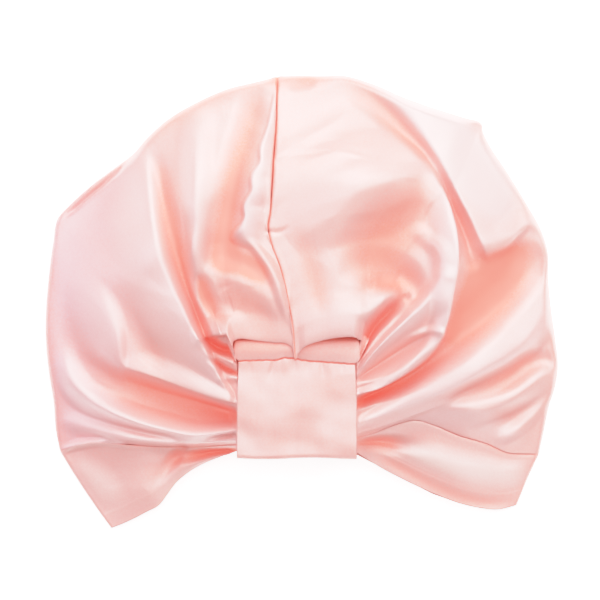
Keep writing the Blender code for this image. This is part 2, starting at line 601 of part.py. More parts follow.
def loop_band(collection):
    """Makes the loop band: a flat tube of cloth, open at both sides, dipped and pinched at its seam."""
    cloth = bmesh.new()
    bmesh.ops.create_cube(cloth, size=1.0)
    bmesh.ops.scale(cloth, vec=(BAND_WIDTH, BAND_LENGTH, BAND_DEPTH), verts=cloth.verts)
    ends = [face for face in cloth.faces if abs(face.normal.x) > 0.5]
    bmesh.ops.delete(cloth, geom=ends, context="FACES_ONLY")
    corners = [edge for edge in cloth.edges if abs(edge.verts[0].co.x - edge.verts[1].co.x) > CLOTH]
    bmesh.ops.bevel(
        cloth, geom=corners, offset=BAND_ROUND, segments=BAND_CORNER_STEPS, profile=0.5,
        affect="EDGES", material=-1,
    )
    for step in range(1, BAND_COLUMNS):
        cut_cloth(cloth, ((step / BAND_COLUMNS - 0.5) * BAND_WIDTH, 0, 0), (1, 0, 0))
    for v in BAND_CUTS:
        cut_cloth(cloth, (0, (v - 0.5) * BAND_LENGTH, 0), (0, 1, 0))
    for vertex in cloth.verts:
        u = 2 * vertex.co.x / BAND_WIDTH
        v = vertex.co.y / BAND_LENGTH + 0.5
        pinch = BAND_SEAM_PINCH * float(1 - smooth_steps(abs(v - BAND_SEAM_V) / BAND_SEAM_REACH))
        front = vertex.co.z > 0
        x, y = in_band(np.float64(u), band_stretch(u, v))
        x -= math.copysign(BAND_CLEARANCE, u) * (abs(u) >= 1.0)
        z = vertex.co.z + HEAD_ROOM + BAND_DEPTH / 2 - pinch * front
        vertex.co = (x, y, z)
    return cloth_object("knot_band", cloth, BAND_CLOTH, collection)


def cut_cloth(cloth, point, normal):
    """Cuts a line of new edges across the cloth."""
    geometry = cloth.verts[:] + cloth.edges[:] + cloth.faces[:]
    bmesh.ops.bisect_plane(cloth, geom=geometry, dist=CLOTH / 1000, plane_co=point, plane_no=normal)


def main():
    """Builds the turban in a collection of its own."""
    for item in list(bpy.data.objects):
        bpy.data.objects.remove(item, do_unlink=True)
    collection = bpy.data.collections.new("satin_hair_turban")
    bpy.context.scene.collection.children.link(collection)
    sheets = (
        ("brim_left", BRIM_LEFT_SPOKES + LEFT_SEAM_SPOKE, BRIM_COLUMNS,
         (LEFT_HEM_BEND, LEFT_SEAM_BEND),
         (BACK_HEM, BACK_SEAM, LEFT_BACK_HEM_BEND, BRIM_BACK_ROWS), -1, (False, True)),
        ("crown_left", LEFT_SEAM_SPOKE + CROWN_LEFT_SPOKES + CENTRE_SPOKE, CROWN_COLUMNS,
         (LEFT_SEAM_BEND, CENTRE_BEND),
         (BACK_SEAM, BACK_CROWN, None, CROWN_BACK_ROWS), -1, (True, True)),
        ("brim_right", BRIM_RIGHT_SPOKES + RIGHT_SEAM_SPOKE, BRIM_COLUMNS,
         (RIGHT_HEM_BEND, RIGHT_SEAM_BEND),
         (BACK_HEM, BACK_SEAM, RIGHT_BACK_HEM_BEND, BRIM_BACK_ROWS), 1, (False, True)),
        ("crown_right", RIGHT_SEAM_SPOKE + CROWN_RIGHT_SPOKES + CENTRE_SPOKE, CROWN_COLUMNS,
         (RIGHT_SEAM_BEND, CENTRE_BEND),
         (BACK_SEAM, BACK_CROWN, None, CROWN_BACK_ROWS), 1, (True, True)),
    )
    for name, spokes, columns, bends, back, side, sewn in sheets:
        points = sheet_points(spokes, columns, bends, back, side, sewn)
        cloth_object(name, sheet_cloth(points, side > 0), CLOTH, collection)
    loop_band(collection)


main()
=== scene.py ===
"""Dresses the satin hair turban: two crown panels, two brim strips and a loop band in pale pink satin.

The turban lies on its back. X runs across it, Y from the hem to the crown, Z up from the table. Outline
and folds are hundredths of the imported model's own box, so the satin sits where the solids are; hems,
seams and other details of the cloth are in metres.
"""

import logging
import math
from dataclasses import dataclass
from enum import Enum
from typing import Any

import bmesh
import bpy
import numpy as np
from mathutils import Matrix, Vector, noise

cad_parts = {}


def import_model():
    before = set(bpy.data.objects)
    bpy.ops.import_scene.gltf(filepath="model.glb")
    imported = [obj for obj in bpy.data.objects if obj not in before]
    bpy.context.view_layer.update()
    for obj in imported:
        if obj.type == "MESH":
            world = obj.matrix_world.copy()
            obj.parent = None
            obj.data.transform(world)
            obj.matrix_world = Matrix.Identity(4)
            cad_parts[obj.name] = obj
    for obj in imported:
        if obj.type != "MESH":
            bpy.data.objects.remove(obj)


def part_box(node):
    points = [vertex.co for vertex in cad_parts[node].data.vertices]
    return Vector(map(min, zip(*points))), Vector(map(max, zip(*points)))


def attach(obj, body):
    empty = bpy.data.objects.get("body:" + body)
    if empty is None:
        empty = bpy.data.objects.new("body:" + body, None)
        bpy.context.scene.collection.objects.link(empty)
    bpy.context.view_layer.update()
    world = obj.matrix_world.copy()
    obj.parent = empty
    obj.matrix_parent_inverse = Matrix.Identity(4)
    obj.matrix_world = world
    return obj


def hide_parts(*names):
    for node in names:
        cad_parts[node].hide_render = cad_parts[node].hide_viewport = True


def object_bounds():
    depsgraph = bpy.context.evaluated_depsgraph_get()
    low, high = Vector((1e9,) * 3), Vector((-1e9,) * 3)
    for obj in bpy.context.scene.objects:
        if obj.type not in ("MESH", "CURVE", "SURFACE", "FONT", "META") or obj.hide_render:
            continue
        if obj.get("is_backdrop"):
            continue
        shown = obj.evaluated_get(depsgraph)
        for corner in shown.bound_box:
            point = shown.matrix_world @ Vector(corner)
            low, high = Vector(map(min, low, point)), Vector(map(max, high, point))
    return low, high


LOG = logging.getLogger("turban")
BODY = "root"

Row = tuple[float, ...]
Table = tuple[Row, ...]
Colour = tuple[float, float, float, float]


def smooth_steps(values: Any) -> Any:
    """Eases values from 0 to 1, flat at both ends."""
    held = np.clip(values, 0.0, 1.0)
    return held * held * (3.0 - 2.0 * held)


def bell(distance: Any, reach: float) -> Any:
    """One at no distance, easing to nothing at the reach."""
    return smooth_steps(1.0 - np.abs(distance) / reach)


def noise_field(across: np.ndarray, along: np.ndarray, level: float = 0.5) -> np.ndarray:
    """Smooth noise between -1 and 1 over a grid of places."""
    values = [noise.noise(Vector((u, v, level))) for u, v in zip(across.flat, along.flat)]
    return np.reshape(values, across.shape)


def stations_of(track: np.ndarray) -> np.ndarray:
    """Share of a track's length at which each of its points lies."""
    legs = np.linalg.norm(np.diff(track, axis=0), axis=1)
    stations = np.concatenate([[0.0], np.cumsum(legs)])
    return stations / stations[-1]


def smooth_curve(stations: np.ndarray, knots: np.ndarray, places: np.ndarray) -> np.ndarray:
    """Reads a smooth curve at new places.

    Args:
        stations: Where each knot lies, from 0 to 1.
        knots: The curve's knots, one row each.
        places: Where to read it, of any shape.

    Returns:
        The curve's values, with the shape of places and one more axis.
    """
    slopes = np.gradient(knots, stations, axis=0)
    places = np.clip(places, stations[0], stations[-1])
    leg = np.clip(np.searchsorted(stations, places, side="right") - 1, 0, len(stations) - 2)
    span = (stations[leg + 1] - stations[leg])[..., None]
    share = (places - stations[leg])[..., None] / span
    start, end = knots[leg], knots[leg + 1]
    leave, arrive = slopes[leg] * span, slopes[leg + 1] * span
    square, cube = share**2, share**3
    from_start = start * (2 * cube - 3 * square + 1) + leave * (cube - 2 * square + share)
    to_end = end * (3 * square - 2 * cube) + arrive * (cube - square)
    return from_start + to_end


class Side(Enum):
    """Which half of the turban a panel belongs to."""

    LEFT = -1
    RIGHT = 1


class Edge(Enum):
    """What an edge of a panel is."""

    SEWN = "sewn"
    HEMMED = "hemmed"


# Spokes run from inside the band (gather) past its edge (lip) to the outline (x, y). u and v are
# shares of the band: u is -1 and 1 at its sides, v is 0 at its foot and 1 at its top. x and y are in
# hundredths of the cap's width and length, heights in hundredths of its loft.
SPOKE_COLUMNS = ("gather_u", "gather_v", "lip_u", "lip_v", "lip_z", "x", "y", "rise", "run", "plateau")
BRIM_LEFT_SPOKES = (
    (-0.78, 0.065, -1.0, 0.050, 50, -37.2, 0.0, 9.2, 0.9, 14),
    (-0.78, 0.078, -1.0, 0.068, 50, -40.0, 4.3, 9.4, 1.0, 20),
    (-0.78, 0.092, -1.0, 0.087, 50, -44.0, 11.0, 9.6, 1.1, 22),
)
LEFT_SEAM_SPOKE = ((-0.78, 0.105, -1.0, 0.105, 51, -47.2, 16.9, 10, 1.2, 25),)
CROWN_LEFT_SPOKES = (
    (-0.78, 0.150, -1.0, 0.150, 54, -48.0, 21.5, 12, 1.6, 34),
    (-0.78, 0.190, -1.0, 0.190, 56, -48.4, 27.5, 15, 1.9, 40),
    (-0.78, 0.240, -1.0, 0.240, 58, -49.3, 34.0, 17, 2.0, 44),
    (-0.78, 0.300, -1.0, 0.300, 60, -49.9, 41.0, 18, 2.0, 48),
    (-0.78, 0.360, -1.0, 0.360, 62, -49.9, 48.0, 18, 2.0, 50),
    (-0.78, 0.420, -1.0, 0.420, 63, -49.4, 55.0, 18, 2.0, 52),
    (-0.78, 0.480, -1.0, 0.480, 64, -48.5, 63.0, 18, 2.0, 54),
    (-0.78, 0.540, -1.0, 0.540, 64, -47.5, 68.6, 16, 1.8, 56),
    (-0.78, 0.600, -1.0, 0.600, 64, -45.4, 71.2, 15, 1.8, 58),
    (-0.78, 0.660, -1.0, 0.660, 64, -41.0, 75.7, 17, 1.9, 62),
    (-0.78, 0.710, -1.0, 0.710, 64, -36.0, 79.9, 21, 2.2, 66),
    (-0.80, 0.760, -1.0, 0.760, 64, -33.0, 82.4, 28, 2.6, 70),
    (-0.95, 0.860, -1.04, 0.860, 68, -30.0, 86.2, 32, 2.9, 73),
    (-0.95, 0.960, -1.05, 0.970, 72, -26.2, 90.0, 34, 3.0, 75),
    (-0.90, 0.960, -0.95, 1.010, 66, -20.0, 94.1, 36, 3.1, 77),
    (-0.70, 0.940, -0.70, 0.992, 60, -14.0, 97.0, 36, 3.1, 79),
    (-0.40, 0.920, -0.40, 0.974, 60, -10.0, 98.1, 36, 3.1, 80),
    (-0.16, 0.900, -0.15, 0.958, 60, -7.0, 98.9, 36, 3.1, 80),
    (-0.08, 0.890, -0.07, 0.918, 60, -5.7, 99.3, 36, 3.1, 80),
)
CENTRE_SPOKE = ((-0.03, 0.880, -0.03, 0.838, 60, -4.7, 99.6, 36, 3.0, 80),)
RIGHT_SEAM_SPOKE = ((0.78, 0.165, 1.0, 0.160, 52, 46.3, 16.3, 12, 1.4, 24),)
CROWN_RIGHT_SPOKES = (
    (0.78, 0.205, 1.0, 0.205, 55, 47.3, 21.5, 15, 1.7, 32),
    (0.78, 0.250, 1.0, 0.250, 58, 48.3, 27.0, 18, 2.0, 40),
    (0.78, 0.305, 1.0, 0.305, 60, 49.4, 31.0, 20, 2.1, 46),
    (0.78, 0.360, 1.0, 0.360, 62, 50.0, 35.5, 21, 2.1, 50),
    (0.78, 0.415, 1.0, 0.415, 63, 49.5, 41.5, 22, 2.2, 54),
    (0.78, 0.470, 1.0, 0.470, 64, 48.7, 48.0, 23, 2.3, 56),
    (0.78, 0.525, 1.0, 0.525, 64, 48.1, 55.0, 24, 2.3, 58),
    (0.78, 0.580, 1.0, 0.580, 64, 48.0, 61.0, 24, 2.3, 58),
    (0.78, 0.630, 1.0, 0.630, 64, 47.0, 64.9, 24, 2.3, 60),
    (0.78, 0.680, 1.0, 0.680, 64, 44.0, 71.3, 22, 2.1, 62),
    (0.78, 0.720, 1.0, 0.720, 64, 40.0, 78.7, 22, 2.1, 64),
    (0.79, 0.755, 1.0, 0.755, 64, 36.2, 85.4, 22, 2.0, 64),
    (0.80, 0.770, 1.0, 0.770, 64, 35.3, 87.6, 20, 1.6, 64),
    (0.80, 0.785, 1.0, 0.785, 64, 35.1, 89.2, 18, 1.2, 64),
    (0.82, 0.800, 1.01, 0.795, 65, 34.2, 89.9, 19, 1.5, 65),
    (0.95, 0.840, 1.04, 0.820, 66, 33.0, 90.2, 22, 2.0, 66),
    (0.95, 0.890, 1.04, 0.885, 68, 28.0, 91.9, 25, 2.3, 70),
    (0.95, 0.960, 1.05, 0.980, 72, 20.0, 95.0, 28, 2.5, 74),
    (0.90, 0.960, 0.93, 1.020, 66, 14.0, 97.9, 30, 2.7, 78),
    (0.60, 0.940, 0.60, 1.010, 60, 8.0, 99.8, 32, 2.8, 80),
    (0.35, 0.920, 0.35, 0.982, 60, 3.6, 99.7, 34, 2.9, 80),
    (0.14, 0.900, 0.13, 0.940, 60, -0.6, 99.8, 35, 3.0, 80),
    (0.04, 0.890, 0.04, 0.898, 60, -2.9, 99.7, 36, 3.0, 80),
)
BRIM_RIGHT_SPOKES = (
    (0.78, 0.065, 1.0, 0.045, 48, 42.0, 5.2, 9.2, 0.9, 14),
    (0.78, 0.095, 1.0, 0.080, 49, 43.0, 7.9, 10, 1.1, 18),
    (0.78, 0.125, 1.0, 0.115, 50, 44.0, 10.6, 11, 1.2, 20),
)

# Bends of the edges away from the straight line between lip and outline: share of the way along,
# then x and y in hundredths of the cap.
CENTRE_BEND = (
    (0, 0, 0), (0.09, -0.1, 0), (0.18, -0.5, 0), (0.25, -1.0, 0), (0.32, -1.9, 0), (0.37, -2.8, 0),
    (0.42, -3.4, 0), (0.45, -3.5, 0), (0.50, -2.9, 0), (0.60, -2.2, 0), (0.70, -1.6, 0),
    (0.82, -0.7, 0), (1, 0, 0),
)
LEFT_SEAM_BEND = (
    (0, 0, 0), (0.11, 0, -0.3), (0.22, 0, -0.4), (0.45, 0, 0.2), (0.68, 0, 1.3), (0.82, 0, 1.8),
    (0.91, 0, 1.2), (1, 0, 0),
)
RIGHT_SEAM_BEND = (
    (0, 0, 0), (0.09, 0, 1.1), (0.21, 0, 3.4), (0.32, 0, 4.9), (0.42, 0, 4.2), (0.55, 0, 2.5),
    (0.71, 0, 1.2), (0.82, 0, -0.3), (0.91, 0, -0.2), (1, 0, 0),
)
LEFT_HEM_BEND = (
    (0, 0, 0), (0.15, 0, 0.8), (0.31, 0, 1.6), (0.41, 0, 1.6), (0.49, 0, 1.0), (0.55, 0, -0.2),
    (0.61, 0, -1.4), (0.71, 0, -1.3), (0.87, 0, -0.8), (1, 0, 0),
)
RIGHT_HEM_BEND = (
    (0, 0, 0), (0.11, 0, -1.6), (0.30, 0, -3.0), (0.49, 0, -3.8), (0.62, 0, -4.0), (0.75, 0, -3.6),
    (0.89, 0, -2.3), (1, 0, 0),
)

# Bends of the back's hem away from the straight line between outline and middle of the back: hidden
# behind the front's hem on the left, just below it on the right.
NO_BEND = ((0, 0, 0), (1, 0, 0))
LEFT_BACK_HEM_BEND = (
    (0, 0, 0), (0.14, 0, 0), (0.26, 0, 1.2), (0.33, 0, 3.6), (0.42, 0, 4.9), (0.55, 0, 5.4),
    (0.70, 0, 5.2), (0.85, 0, 2.8), (1, 0, 0),
)
RIGHT_BACK_HEM_BEND = (
    (0, 0, 0), (0.09, 0, -2.0), (0.19, 0, -3.1), (0.26, 0, -3.2), (0.31, 0, -3.1), (0.42, 0, -2.3),
    (0.53, 0, -0.9), (0.64, 0, 0.5), (0.73, 0, 1.8), (0.84, 0, 1.6), (1, 0, 0),
)

# Ends of each panel on the line down the middle of the back.
BACK_HEM = (-0.9, 18.0)
BACK_SEAM = (-1.6, 31.0)
BACK_CROWN = (-3.2, 66.0)


@dataclass(frozen=True)
class Fold:
    """One fold of the satin.

    lean tips the crest over to the right of the path's travel, in hundredths of the cap's width, and
    crisp sharpens it. A row of the path holds x, y, height, and the reaches to the left and right of
    its travel, all in hundredths. tint says how strongly the fold paints the satin's colour: painted
    shade where it sinks, painted highlight where it rises.
    """

    lean: float
    crisp: float
    path: Table
    painted_light_gain: float = 1.0


# Every fold also paints the satin's colour, by its height times tint: painted shade where it sinks, painted
# highlight where it rises. Folds with a large tint and little height are mostly painted shade or painted
# highlight.
FOLDS: dict[str, Fold] = {
    "lapel_crest": Fold(0.1, 0.0, (
        (-12.6, 28.6, 4, 5, 1.3), (-14.6, 31.6, 12, 7, 1.4), (-17.2, 37, 18, 9, 1.5),
        (-19.9, 42.6, 20, 11, 1.9), (-22.8, 48.6, 20, 12, 2.8), (-25.4, 54.6, 17, 12, 4.2),
        (-27.6, 61.5, 15, 12, 5.4), (-29.4, 69, 13, 11, 5.8), (-30.6, 77, 9, 9, 5.4),
        (-31, 84, 0, 6, 4),
    ), 1.3),
    "lapel_valley": Fold(0.0, 0.0, (
        (-28, 82, 0, 2, 2), (-27, 75, -5, 3, 2.6), (-25.6, 67.6, -8, 3, 3), (-24.2, 60, -10, 2.4, 3),
        (-22.4, 54, -13, 1.6, 2.4), (-20.8, 49, -18, 1.6, 1.7), (-19.4, 44.6, -22, 2.4, 1.5),
        (-17.8, 41.6, -24, 2.4, 1.3), (-15.8, 40, -26, 2.2, 1.4), (-13, 39.4, -20, 1.8, 1.8),
    ), 1.0),
    # Painted shade down the lapel's valley: a slight dip with its colour deepened strongly.
    "lapel_painted_shade": Fold(0.0, 0.0, (
        (-29, 83, 0, 2, 2), (-27, 77, -5, 4, 2.6), (-25.6, 69.6, -7, 4.4, 3), (-24, 62, -7, 3.6, 3),
        (-22.2, 55.4, -5, 2.6, 2.4), (-20.6, 50, 0, 1.6, 2),
    ), 4.0),
    # Painted shade on the pouch's left side.
    "pouch_painted_shade": Fold(0.0, 0.0, (
        (-19.4, 56.4, 0, 1.6, 1), (-19, 53.4, -6, 2.8, 1.2), (-18.2, 50.4, -7, 3, 1.5),
        (-16.8, 47.8, -5, 3, 1.8), (-13.4, 45.8, 0, 2, 2),
    ), 6.0),
    # Painted shade across the top of the pouch.
    "pouch_brow_painted_shade": Fold(0.0, 0.0, (
        (-18.4, 58.6, 0, 2, 2), (-15.4, 58.6, -4, 3, 3), (-12, 57.8, -6, 3, 3), (-9, 56.4, -6, 3, 3),
        (-6.6, 53.8, 0, 2, 2),
    ), 5.0),
    "lapel_hem": Fold(0.9, 0.1, (
        (-34.6, 36.2, 0, 2.4, 1.2), (-32.8, 35.6, 3, 3, 1.0), (-30, 34.8, 5, 4, 0.9),
        (-25, 33, 8, 4, 0.9), (-18.6, 30.6, 10, 3.4, 0.9), (-12.5, 28.3, 7, 2, 0.8),
    ), 0.3),
    "left_hollow": Fold(0.0, 0.0, (
        (-45.5, 50, 0, 3, 3), (-44.4, 42.5, -5, 4, 4), (-41.4, 37, -9, 4.4, 5),
        (-36, 33.4, -17, 3.4, 7.4), (-30, 31.2, -27, 2.6, 8), (-24, 29.2, -32, 2.4, 8),
        (-18, 27.4, -36, 2.2, 6.6), (-12.5, 25.6, -38, 2.2, 4.6),
    ), 0.9),
    "left_shoulder": Fold(0.1, 0.0, (
        (-34.2, 35.4, 2, 3.4, 1.4), (-34.8, 39.5, 6, 5, 1.8), (-35.6, 44, 7, 6, 2.6),
        (-38.2, 48.6, 6, 6.4, 3.8), (-42, 53, 3, 6, 4), (-45, 57, 0, 5, 4),
    ), 1.6),
    "left_roll": Fold(0.0, 0.2, (
        (-12.5, 22.4, 12, 1.4, 2.4), (-20.8, 21.2, 17, 1.6, 3), (-26, 22.4, 18, 2, 3.2),
        (-32.6, 24.6, 18, 2.4, 3.4), (-37, 26.6, 16, 3, 3.6), (-40.8, 29, 13, 4, 3.4),
        (-44.4, 33, 10, 4, 3.4), (-46.6, 40, 0, 3, 3),
    ), 1.5),
    "left_roll_low": Fold(0.2, 0.0, (
        (-47.4, 24.4, 0, 3, 3), (-41, 22.2, 6, 3, 2.4), (-36, 21, 10, 2.4, 1.8),
        (-30, 20, 12, 1.9, 1.4), (-24, 19.6, 13, 1.6, 1.3), (-18, 19.7, 12, 1.5, 1.2),
        (-12.4, 20.2, 8, 1.4, 1.2),
    ), 1.6),
    "upper_left_swell": Fold(0.0, 0.0, (
        (-19.4, 93, 0, 4, 5), (-20, 85, 6, 4, 4.6), (-20, 76, 9, 4, 3.6), (-20, 67, 10, 3.6, 2.4),
        (-20.2, 60, 9, 3, 2), (-19.6, 54.6, 0, 2, 1.4),
    ), 1.6),
    "small_crease": Fold(0.0, 0.5, (
        (-20.8, 70.5, 0, 0.9, 1.6), (-20.5, 67, -2.2, 0.9, 1.6), (-21.2, 62.5, -2.6, 0.9, 1.6),
        (-21.8, 59, 0, 0.9, 1.6),
    )),
    "streak": Fold(0.0, 0.0, (
        (-8.6, 98.5, 0, 3, 4), (-9.4, 92, -6, 4, 4), (-10.8, 84.5, -9, 4, 4.4),
        (-12.4, 77.5, -11, 3.8, 4.4), (-13.6, 70.5, -12, 3.6, 4.2), (-14.6, 64.5, -11, 4, 4),
        (-15, 59.6, -8, 4.4, 4), (-14.8, 55, -4, 4, 3), (-14, 51, 0, 3, 2),
    ), 2.8),
    "seam_ridge_left": Fold(0.2, 0.1, (
        (-4.6, 97, 0, 1.2, 0.5), (-5.8, 90.6, 4, 1.6, 0.6), (-6.6, 86.4, 6, 2, 0.7),
        (-7.7, 82.6, 7, 2.8, 0.8), (-7.6, 79.6, 7, 2.8, 0.8), (-9.2, 76.6, 8, 4, 0.8),
        (-9.1, 73.4, 8, 3.6, 0.9), (-10.6, 70.4, 9, 4.6, 0.9), (-10.5, 67.6, 9, 4.4, 1),
        (-12.4, 64.2, 7, 5, 1.1), (-13.4, 62.8, 0, 2, 0.8),
    ), 3.2),
    # A shallow valley whose colour is deepened strongly: painted shade.
    "pouch_valley": Fold(0.0, 0.0, (
        (-18.4, 62.6, 0, 2.6, 3), (-15, 61.8, -3, 4, 5), (-11.6, 60, -4, 4.4, 5),
        (-8.6, 57.4, -4, 4, 5), (-6.4, 54, -3, 3, 4), (-5.4, 50.6, 0, 2, 2),
    ), 5.0),
    "seam_ridge_low": Fold(0.0, 0.0, (
        (-11, 63.4, 0, 1.4, 1.4), (-8.6, 61.2, 5, 1.6, 1.4), (-6.4, 58, 7, 1.8, 1.6),
        (-4.8, 54.4, 7, 1.8, 1.8), (-3.6, 50.4, 5, 1.8, 1.8), (-2.8, 46, 0, 1.4, 1.4),
    )),
    "pouch_left": Fold(0.0, 0.0, (
        (-19.6, 51, 0, 3, 3), (-17.4, 53.6, 3, 5, 6.6), (-14.4, 55.4, 6, 6, 9.4),
        (-10.4, 55.2, 7, 6.4, 10), (-6.6, 52, 5, 5, 7), (-3, 47.4, 0, 3, 3),
    ), 0.0),
    "pouch_edge_left": Fold(0.8, 0.0, (
        (-20.8, 41.2, 0, 1.6, 1.2), (-18.6, 42.7, 8, 3.4, 1.4), (-16, 43.5, 14, 4.6, 1.5),
        (-13, 43.7, 14, 5, 1.5), (-10, 43.6, 0, 4, 1),
    ), 0.3),
    # Painted shade over the pouch.
    "pouch_patch_painted_shade": Fold(0.0, 0.0, (
        (-17, 52.6, 0, 3, 4), (-14, 51, -4, 5, 5.4), (-10, 49, -5, 5, 5.4), (-6.8, 46.8, -3, 3, 4),
        (-4.8, 44.6, 0, 2, 2),
    ), 3.0),
    # Faint painted shade above the lapel's hem.
    "lapel_low_painted_shade": Fold(0.0, 0.0, (
        (-31.4, 40.6, 0, 3, 3), (-27.4, 39.6, -2, 5, 4), (-22.8, 37.6, -2, 5, 3.6),
        (-18.6, 34.4, -2, 3, 2.8), (-15.8, 31.4, 0, 2, 2),
    ), 2.0),
    # Painted shade in the right valley.
    "valley_painted_shade": Fold(0.0, 0.0, (
        (27, 40.4, 0, 2, 3), (30, 45.6, -5, 4, 6), (32.6, 51, -7, 5.6, 8), (36, 56, -8, 6.6, 8.4),
        (41, 60.4, -6, 4, 6), (46, 63, 0, 2, 3),
    ), 6.5),
    # Painted shade on the left brim by the seam.
    "brim_left_painted_shade": Fold(0.0, 0.0, (
        (-34, 10, 0, 3, 3), (-28, 13.4, -2, 3, 3), (-23, 15.4, -4, 2.4, 2.4),
        (-18.6, 16.8, -8, 1.6, 1.6), (-13, 17.6, -8, 1.2, 1.2),
    ), 4.0),
    # Painted shade down the left of the crown.
    "left_painted_shade": Fold(0.0, 0.0, (
        (-36, 68, 0, 6, 5), (-35, 60, -2, 6, 6), (-33.6, 52, -4, 5, 6), (-31.4, 45, -4, 4, 5),
        (-28.6, 39, -3, 3, 4), (-26, 35, 0, 2, 3),
    ), 1.6),
    # Painted shade along the top left rim.
    "top_painted_shade": Fold(0.0, 0.0, (
        (-30, 84, 0, 3, 3), (-24, 89.6, -2, 3, 4), (-17, 93.6, -2, 3, 4), (-10, 96.6, 0, 2, 3),
    ), 4.0),
    "pocket_fold": Fold(0.0, 0.1, (
        (-18.8, 40, 0, 1.2, 1.6), (-16.6, 38.8, 5, 1.6, 2), (-14, 37.4, 7, 1.8, 2),
        (-12.4, 36.6, 6, 1.6, 1.8),
    ), 0.1),
    "pocket_crease": Fold(0.0, 0.2, (
        (-18, 38.2, 0, 0.9, 1.1), (-16.4, 37, -9, 1, 1.1), (-14, 35.4, -13, 1, 1.1),
        (-12.3, 34.6, -12, 0.9, 1),
    ), 2.4),
    # Painted shade in the pocket beside the band.
    "pocket_painted_shade": Fold(0.0, 0.0, (
        (-20.4, 40.6, 0, 1.6, 1.6), (-18, 39.8, -2, 2.4, 2.4), (-15, 39, -3, 2.6, 2.6),
        (-12.4, 38.4, -3, 2.4, 2.4),
    ), 5.0),
    "pocket_plate": Fold(0.0, 0.0, (
        (-16.4, 33.6, 0, 1.4, 1.4), (-14.4, 33.6, 4, 1.6, 1.4), (-12.6, 33.6, 5, 1.6, 1.4),
    ), 0.3),
    "brim_crevice_left": Fold(0.0, 0.0, (
        (-31, 17, 0, 1.6, 2), (-24, 16.2, -4, 1.6, 2), (-18, 16.6, -8, 1.4, 1.6),
        (-12.3, 17.8, -9, 1.2, 1.2),
    )),
    "brim_valley_left": Fold(0.0, 0.0, (
        (-30, 8.6, 0, 2.4, 1.8), (-26.8, 12, -5, 2.6, 1.8), (-24.6, 15.2, -8, 2.4, 1.6),
        (-23, 18, -6, 2, 1.4),
    )),
    "brim_crease_left": Fold(0.0, 0.2, (
        (-47.3, 16.9, 3, 1, 1), (-44, 18.4, 8, 1.2, 1.2), (-40, 19.2, 9, 1.2, 1.2),
        (-36.4, 19.2, 6, 1.2, 1.2), (-33, 18.4, 0, 1, 1),
    ), 2.4),
    "side_lap": Fold(0.0, 0.3, (
        (-46.8, 68.4, 0, 1.2, 0.7), (-45.6, 69.2, -8, 1.4, 0.7), (-42, 72.6, -11, 1.8, 0.7),
        (-38, 76.3, -11, 1.8, 0.7), (-34.6, 79.7, -9, 1.4, 0.7), (-33.1, 82.2, 0, 1, 0.7),
    ), 0.3),
    "right_fold_crest": Fold(0.3, 0.0, (
        (9, 100, 0, 6, 5), (13.6, 97.4, 7, 9, 5.4), (18.4, 93.4, 11, 11, 5), (22.6, 88.2, 13, 12, 3.8),
        (26, 82.2, 14, 12, 2), (28.6, 76.4, 14, 12, 1.4), (31, 71, 16, 12, 1.3),
        (33.2, 66, 16, 11, 1.5), (35, 61.6, 12, 8, 1.8), (36.2, 58.6, 0, 5, 1.6),
    ), 1.1),
    # Painted highlight over the right lobe: barely raised, its colour lightened strongly.
    "lobe_painted_highlight": Fold(0.0, 0.0, (
        (14, 98, 0, 4, 4), (20, 95, 1, 6, 5), (27, 88.6, 2.4, 7, 7), (33, 80, 2.6, 8, 8),
        (38, 71.6, 2, 7, 6), (41, 66.6, 0, 4, 4),
    ), 16.0),
    "lobe_hem": Fold(0.3, 0.0, (
        (34, 59.8, 0, 3, 1.4), (36.4, 61, 5, 4, 1.3), (39.2, 62.2, 8, 5, 1.3), (41.4, 65, 8, 5, 1.3),
        (43.6, 66.8, 6, 4, 1.4), (46.4, 65, 0, 3, 1.4),
    )),
    # Shallow valley with painted shade, down the left of the right fold.
    "upper_painted_shade_band": Fold(0.0, 0.0, (
        (7, 99, 0, 1.6, 3), (11.6, 96, -5, 3, 4), (16.6, 91.4, -7, 3.2, 4), (20.6, 86.6, -7, 3, 3.4),
        (23.6, 81.8, -5, 2.4, 2.4), (25.4, 78, 0, 1.6, 1.6),
    ), 3.0),
    "right_crevice": Fold(0.0, 0.0, (
        (23.4, 82, 0, 0.8, 0.9), (25.6, 78, -8, 0.9, 0.9), (27.8, 73, -12, 0.9, 1),
        (29.8, 68, -13, 1.1, 1.3), (31.4, 63.6, -14, 1.5, 1.7), (32.4, 58.6, -8, 2.2, 2.4),
    ), 1.2),
    "right_valley": Fold(0.0, 0.0, (
        (10.6, 28.4, -36, 1.8, 2.2), (14, 30, -34, 1.8, 2.4), (18, 32.2, -29, 2, 3),
        (22.4, 35.2, -25, 2.6, 3.6), (26.8, 39, -22, 4, 4.4), (31.2, 43, -22, 6, 5),
        (35.6, 47.4, -22, 8.4, 5.2), (39.8, 52, -20, 10, 5), (43.6, 57, -15, 9, 4.6), (47, 62, 0, 5, 3),
    ), 1.1),
    "middle_edge": Fold(-0.7, 0.2, (
        (24, 81.5, 0, 1.2, 3), (26, 76, 8, 1.3, 4.6), (27.7, 70, 14, 1.5, 5), (28.6, 64, 18, 1.6, 4.8),
        (28.7, 58, 20, 1.6, 4.2), (27.8, 51.6, 20, 1.6, 3.6), (27, 46.4, 18, 1.6, 3.2),
        (25.8, 42, 15, 1.5, 2.8), (23.4, 38.2, 14, 1.4, 2.4), (19.4, 34.8, 14, 1.3, 2),
        (15, 32, 13, 1.2, 1.8), (10.5, 30.2, 8, 1, 1.6),
    ), 1.9),
    "plateau": Fold(0.0, 0.0, (
        (-2, 62, 0, 6, 5), (2.6, 66.2, 8, 10, 6), (8.4, 71, 15, 12, 9), (14.4, 75.2, 18, 12, 11),
        (20.2, 79.4, 13, 9, 10), (24, 83, 0, 6, 4),
